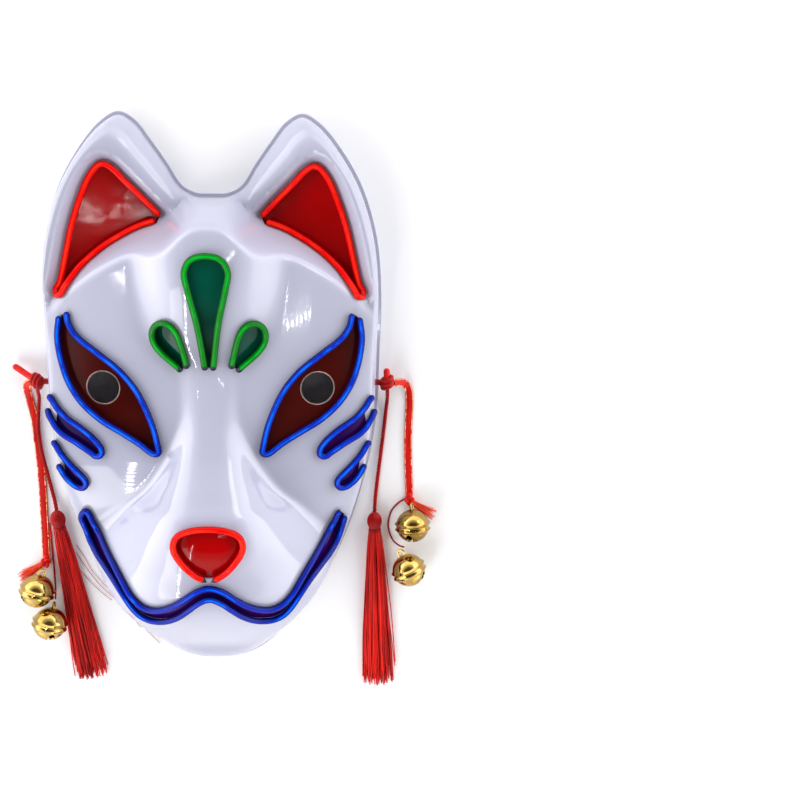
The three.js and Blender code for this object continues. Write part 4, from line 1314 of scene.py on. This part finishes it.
def makeTasselHead(label, sizes):
    satin = materials["cord"]
    end = math.radians(90 - sizes["headAngle"])
    profile = ovalArc(sizes["headRadius"], sizes["headLength"], math.pi / 2, end, 14)
    profile += [(sizes["neckRadius"], -sizes["neckEnd"]), (0.0, -sizes["headEnd"])]
    head = latheMesh("tasselHead" + label, profile, 108, satin, sizes["ripple"], sizes["headRibs"])
    moveMesh(head, Matrix.Translation((0, 0, sizes["headHeight"] * mm)))
    reach = sizes["neckRadius"] + sizes["bindingGap"]
    turns = sizes["bindingTurns"]
    coil = []
    for step, (across, upward) in enumerate(ovalArc(reach, reach, 0, 2 * math.pi * turns, 16 * turns)):
        along = sizes["bindingFrom"] + sizes["bindingLength"] * step / (16 * turns)
        coil.append(Vector((across, -along, sizes["headHeight"] + upward)) * mm)
    return [head, roundTube("tasselBinding" + label, coil, sizes["bindingRadius"], satin, 8)]


def makeTassel(side, label, seed, sizes):
    knob, end = Vector(side["knob"]), Vector(side["tasselEnd"])
    headPieces = makeTasselHead(label, sizes)
    values = {
        "Length": ((end - knob).length - sizes["skirtFrom"]) * mm,
        "Neck Radius": sizes["neckRadius"] * mm,
        "Neck Height": sizes["headHeight"] * mm,
        "Spread": sizes["spread"] * mm,
        "Pile": sizes["pile"] * mm,
        "Thread Radius": sizes["threadRadius"] * mm,
        "Strands": sizes["strands"],
        "Seed": seed,
        "Material": materials["thread"],
    }
    skirt = growMesh("tasselSkirt" + label, skirtTree, [(0, 0, 0)] * sizes["threads"], values)
    moveMesh(skirt, Matrix.Translation((0, -sizes["skirtFrom"] * mm, 0)))
    tassel = joinPieces("tassel" + label, [skirt, *headPieces])
    lean = math.atan2(end.x - knob.x, knob.y - end.y)
    moveMesh(tassel, Matrix.Translation(toFrame(knob.x, knob.y, 0)) @ Matrix.Rotation(lean, 4, "Z"))
    if side["sign"] > 0:
        return tassel
    strays = []
    for route in strayThreads:
        laid = evenly(throughPoints([(*point, 0.5) for point in route], perSpan=8), 1.5)
        path = [toFrame(*point) for point in laid]
        strays.append(roundTube("strayThread", path, sizes["strayRadius"], materials["cord"], 6))
    return joinPieces("tassel" + label, [tassel, *strays])


# A hollow brass bell with two ridges, a slot between two round holes, an eye and a clapper
bellSizes = {
    "radius": 8.5,
    "height": 9.3,
    "ridgeAt": 1.5,
    "ridgeWidth": 0.5,
    "ridgeHeight": 0.75,
    "wall": 0.9,
    "slot": (12.75, 6.0, 1.9),
    "slotPlace": (0.0, -7.82, 0.0),
    "slotHole": 2.0,
    "slotHolePlace": (6.12, -6.375),
    "slotHoleDepth": 8,
    "eyeRadius": 1.9,
    "eyeWire": 0.55,
    "eyePlace": 9.9,
    "clapper": 2.2,
    "clapperPlace": (1.2, -4.6, -0.8),
}


# Half a circle with two rounded ridges beside its middle
def bellProfile(sizes):
    profile = []
    for across, height in ovalArc(sizes["radius"], sizes["radius"], -math.pi / 2, math.pi / 2, 72):
        ridge = math.exp(-(((abs(height) - sizes["ridgeAt"]) / sizes["ridgeWidth"]) ** 2))
        profile.append((across + sizes["ridgeHeight"] * ridge, height))
    return profile


def makeBellBody(name, sizes):
    brass = materials["bell_brass"]
    body = latheMesh(name, bellProfile(sizes), 48, brass)
    inside = sizes["radius"] - sizes["wall"]
    cavity = latheMesh(name + "Cavity", ovalArc(inside, inside, -math.pi / 2, math.pi / 2, 16), 32, brass)
    slot = bmesh.new()
    bmesh.ops.create_cube(slot, size=1)
    bmesh.ops.scale(slot, verts=slot.verts, vec=Vector(sizes["slot"]) * mm)
    bmesh.ops.translate(slot, verts=slot.verts, vec=Vector(sizes["slotPlace"]) * mm)
    x, y = sizes["slotHolePlace"]
    for sign in (-1, 1):
        addBore(slot, sizes["slotHole"], sizes["slotHoleDepth"], 20, "X", Vector((sign * x, y, 0)) * mm)
    cutAway(body, [cavity, pieceFromSheet("slot", slot)], selfCrossing=True)
    ring = ovalArc(sizes["eyeRadius"], sizes["eyeRadius"], 0, 2 * math.pi, 24)
    eyePath = [Vector((across, sizes["eyePlace"] + along, 0)) * mm for across, along in ring]
    eye = roundTube(name + "Eye", eyePath, sizes["eyeWire"], brass, 10)
    ball = bmesh.new()
    bmesh.ops.create_icosphere(ball, subdivisions=3, radius=sizes["clapper"] * mm)
    bmesh.ops.translate(ball, verts=ball.verts, vec=Vector(sizes["clapperPlace"]) * mm)
    clapper = pieceFromSheet("clapper", ball)
    clapper.data.materials.append(brass)
    clapper.data.shade_smooth()
    bell = joinPieces(name, [body, eye, clapper])
    bell.data.set_sharp_from_angle(angle=math.radians(35))
    return bell


def makeBell(placing, label, sizes):
    bell = makeBellBody("bell" + placing["name"].capitalize() + label, sizes)
    place = Matrix.Translation(toFrame(*placing["place"], sizes["height"]))
    turn = Matrix.Rotation(math.radians(placing["turn"]), 4, "Z")
    spin = Matrix.Rotation(math.radians(placing["spin"]), 4, "Y")
    return moveMesh(bell, place @ turn @ spin)


# The ribbon's end: a knot and a tail whose threads have come apart
tailSizes = {
    "knot": 2.1,
    "knotHeight": 2.4,
    "cord": 0.85,
    "gather": 1.75,
    "gatherLength": 4.0,
    "gatherHeights": (1.8, 1.0),
    "strands": 30,
    "strandRadius": 0.17,
    "clearance": 0.02,
    "heights": (1.6, 0.6),  # at the knot and at the end
    "spread": 1.3,
    "fan": 1.6,
    "reach": (0.6, 0.86),
    "bend": (-0.8, 0.8),
    "pile": (0.0, 1.6),
}


def knotPath(x, y, z, size, depth=0.45, steps=60):
    path = []
    for step in range(steps + 1):
        t = 2 * math.pi * step / steps
        across = (math.sin(t) + 2 * math.sin(2 * t)) / 3
        along = (math.cos(t) - 2 * math.cos(2 * t)) / 3
        path.append(toFrame(x + size * across, y + size * along, z - size * depth * math.sin(3 * t)))
    return path


def makeRibbonTail(side, label, seed, sizes):
    draw = random.Random(seed)
    satin = materials["ribbon"]
    x, y = side["ribbonEnd"]
    path = knotPath(x, y, sizes["knotHeight"], sizes["knot"])
    pieces = [roundTube("tailKnot" + label, path, sizes["cord"], satin)]
    low, high = sizes["gatherHeights"]
    path = straightPath((x, y, low), (x, y + sizes["gatherLength"], high), 4)
    pieces.append(roundTube("tailGather", path, sizes["gather"], satin, 14, True))
    startHeight, endHeight = sizes["heights"]
    start, end = Vector((x, y, startHeight)), Vector((*side["tailEnd"], endHeight))
    along = (end - start).normalized()
    across = Vector((-along.y, along.x, 0))
    for strand in range(sizes["strands"]):
        share = strand / (sizes["strands"] - 1) * 2 - 1
        reach, bend, pile = (draw.uniform(*sizes[key]) for key in ("reach", "bend", "pile"))
        route = []
        for step in range(7):
            t = step / 6
            aside = share * (sizes["spread"] + sizes["fan"] * t * t) + bend * t * t
            point = start.lerp(end, t * reach) + across * aside
            point.z = max(sizes["strandRadius"] + sizes["clearance"], point.z) + pile * (1 - abs(share))
            route.append(tuple(point))
        path = [toFrame(*point) for point in throughPoints(route, perSpan=4)]
        pieces.append(roundTube("tailStrand", path, sizes["strandRadius"], materials["frayed"], 5))
    return joinPieces("ribbonTail" + label, pieces)


for seed, (sideName, side) in enumerate(sides.items(), start=3):
    label = sideName.capitalize()
    finishPiece(makeTieKnot(side, label, knotSizes), "tie_knot_" + sideName)
    tassel = makeTassel(side, label, seed, tasselSizes)
    finishPiece(tassel, "tassel_" + sideName)
    tail = makeRibbonTail(side, label, seed, tailSizes)
    finishPiece(tail, "ribbon_tail_" + sideName)
    for placing in side["bells"]:
        bell = makeBell(placing, label, bellSizes)
        finishPiece(bell, "bell_" + placing["name"] + "_" + sideName)
    ribbon, ribbonPath = cordPieces[sideName]["ribbon"]
    finishPiece(ribbon, "ribbon_" + sideName)
    tasselCord, cordPath = cordPieces[sideName]["tassel_cord"]
    finishPiece(tasselCord, "tassel_cord_" + sideName)
    bellThread, threadPath = cordPieces[sideName]["bell_thread"]
    finishPiece(bellThread, "bell_thread_" + sideName)
print("hanging pieces made")


# Floor and light
def makeFloor(half=2.0):
    mesh = bpy.data.meshes.new("floor")
    corners = [(-half, -half, 0), (half, -half, 0), (half, half, 0), (-half, half, 0)]
    mesh.from_pydata(corners, [], [(0, 1, 2, 3)])
    constants = {"Roughness": 0.7, "Base Color": (0.95, 0.95, 0.96, 1)}
    mesh.materials.append(startMaterial("paleFloor", constants)[0])
    floor = placeObject("floor", mesh)


# Soft light all round, with a dark place overhead so that the colours stay deep
studio = {
    "strength": 3.1,
    "leftSide": 0.06,  # how much brighter it is on the left than on the right
    "upperSide": 0.2,  # and beyond the ears than beyond the chin
    "bothSides": 0.42,  # and on both sides than at both ends
    "brightness": [(0.0, 1.0), (0.4, 0.9), (0.65, 0.3), (0.85, 0.04)],  # by height, from the horizon up
}

softLights = {
    "lowerLeft": {"place": (-0.66, -0.74, 0.70), "size": (0.45, 0.6), "power": 2.4},
    "upperRight": {"place": (0.9, 0.8, 0.7), "size": (0.3, 0.4), "power": 1.2},
}

# Rows of small lamps, which leave rows of short bright dashes on the glossy plastic
lampRows = {
    "browLeft": {"middle": (-0.44, -0.06, 0.89), "along": (0.4, -0.08, 0.0), "count": 6,
                 "spacing": 0.018, "lamp": (0.007, 0.008)},
    "browRight": {"middle": (0.24, -0.12, 0.96), "along": (1.0, 0.06, 0.0), "count": 10,
                  "spacing": 0.032, "lamp": (0.012, 0.008)},
    "cheekLeft": {"middle": (-0.36, -0.60, 0.71), "along": (-0.1, -1.0, -0.3), "count": 11,
                  "spacing": 0.07, "lamp": (0.026, 0.04)},
}
lampDistance = 1.1
lampBrightness = 60


def addAreaLight(name, place, size, power, turned=None):
    data = bpy.data.lights.new(name, "AREA")
    data.shape = "RECTANGLE"
    data.size, data.size_y = size
    data.energy = power
    back = Vector(place).normalized()
    right = (turned or Vector((0, 1, 0)).cross(back)).normalized()
    placeObject(name, data, lookFrom(place, right, back))


def addLampRow(name, row):
    middle = Vector(row["middle"]).normalized()
    along = Vector(row["along"])
    along = (along - middle * along.dot(middle)).normalized()
    power = lampBrightness * math.pi * row["lamp"][0] * row["lamp"][1]
    for index in range(row["count"]):
        place = middle * lampDistance + along * row["spacing"] * (index - (row["count"] - 1) / 2)
        addAreaLight(f"{name}{index}", place, row["lamp"], power, along)


def addWorld(setup):
    world = bpy.data.worlds.new("studio")
    world.use_nodes = True
    tree = world.node_tree
    direction = addNode(tree, "ShaderNodeTexCoord").outputs["Generated"]
    parts = addNode(tree, "ShaderNodeSeparateXYZ", {"Vector": direction}).outputs
    across, upward = parts["X"], parts["Y"]
    stops = [(height, (level,) * 3) for height, level in setup["brightness"]]
    spread = mathNode(tree, "SUBTRACT", mathNode(tree, "MULTIPLY", across, across),
                      mathNode(tree, "MULTIPLY", upward, upward))
    share = mathNode(tree, "ADD", mathNode(tree, "MULTIPLY", spread, setup["bothSides"]), 1.0,
                     mathNode(tree, "MULTIPLY", upward, setup["upperSide"]))
    share = mathNode(tree, "SUBTRACT", share, mathNode(tree, "MULTIPLY", across, setup["leftSide"]))
    background = tree.nodes["Background"]
    tree.links.new(colourRamp(tree, parts["Z"], stops, "EASE"), background.inputs["Color"])
    tree.links.new(mathNode(tree, "MULTIPLY", share, setup["strength"]), background.inputs["Strength"])
    scene.world = world


makeFloor()
addWorld(studio)
for name, setup in softLights.items():
    addAreaLight(name, setup["place"], setup["size"], setup["power"])
for name, row in lampRows.items():
    addLampRow(name, row)
print("floor and lights set")
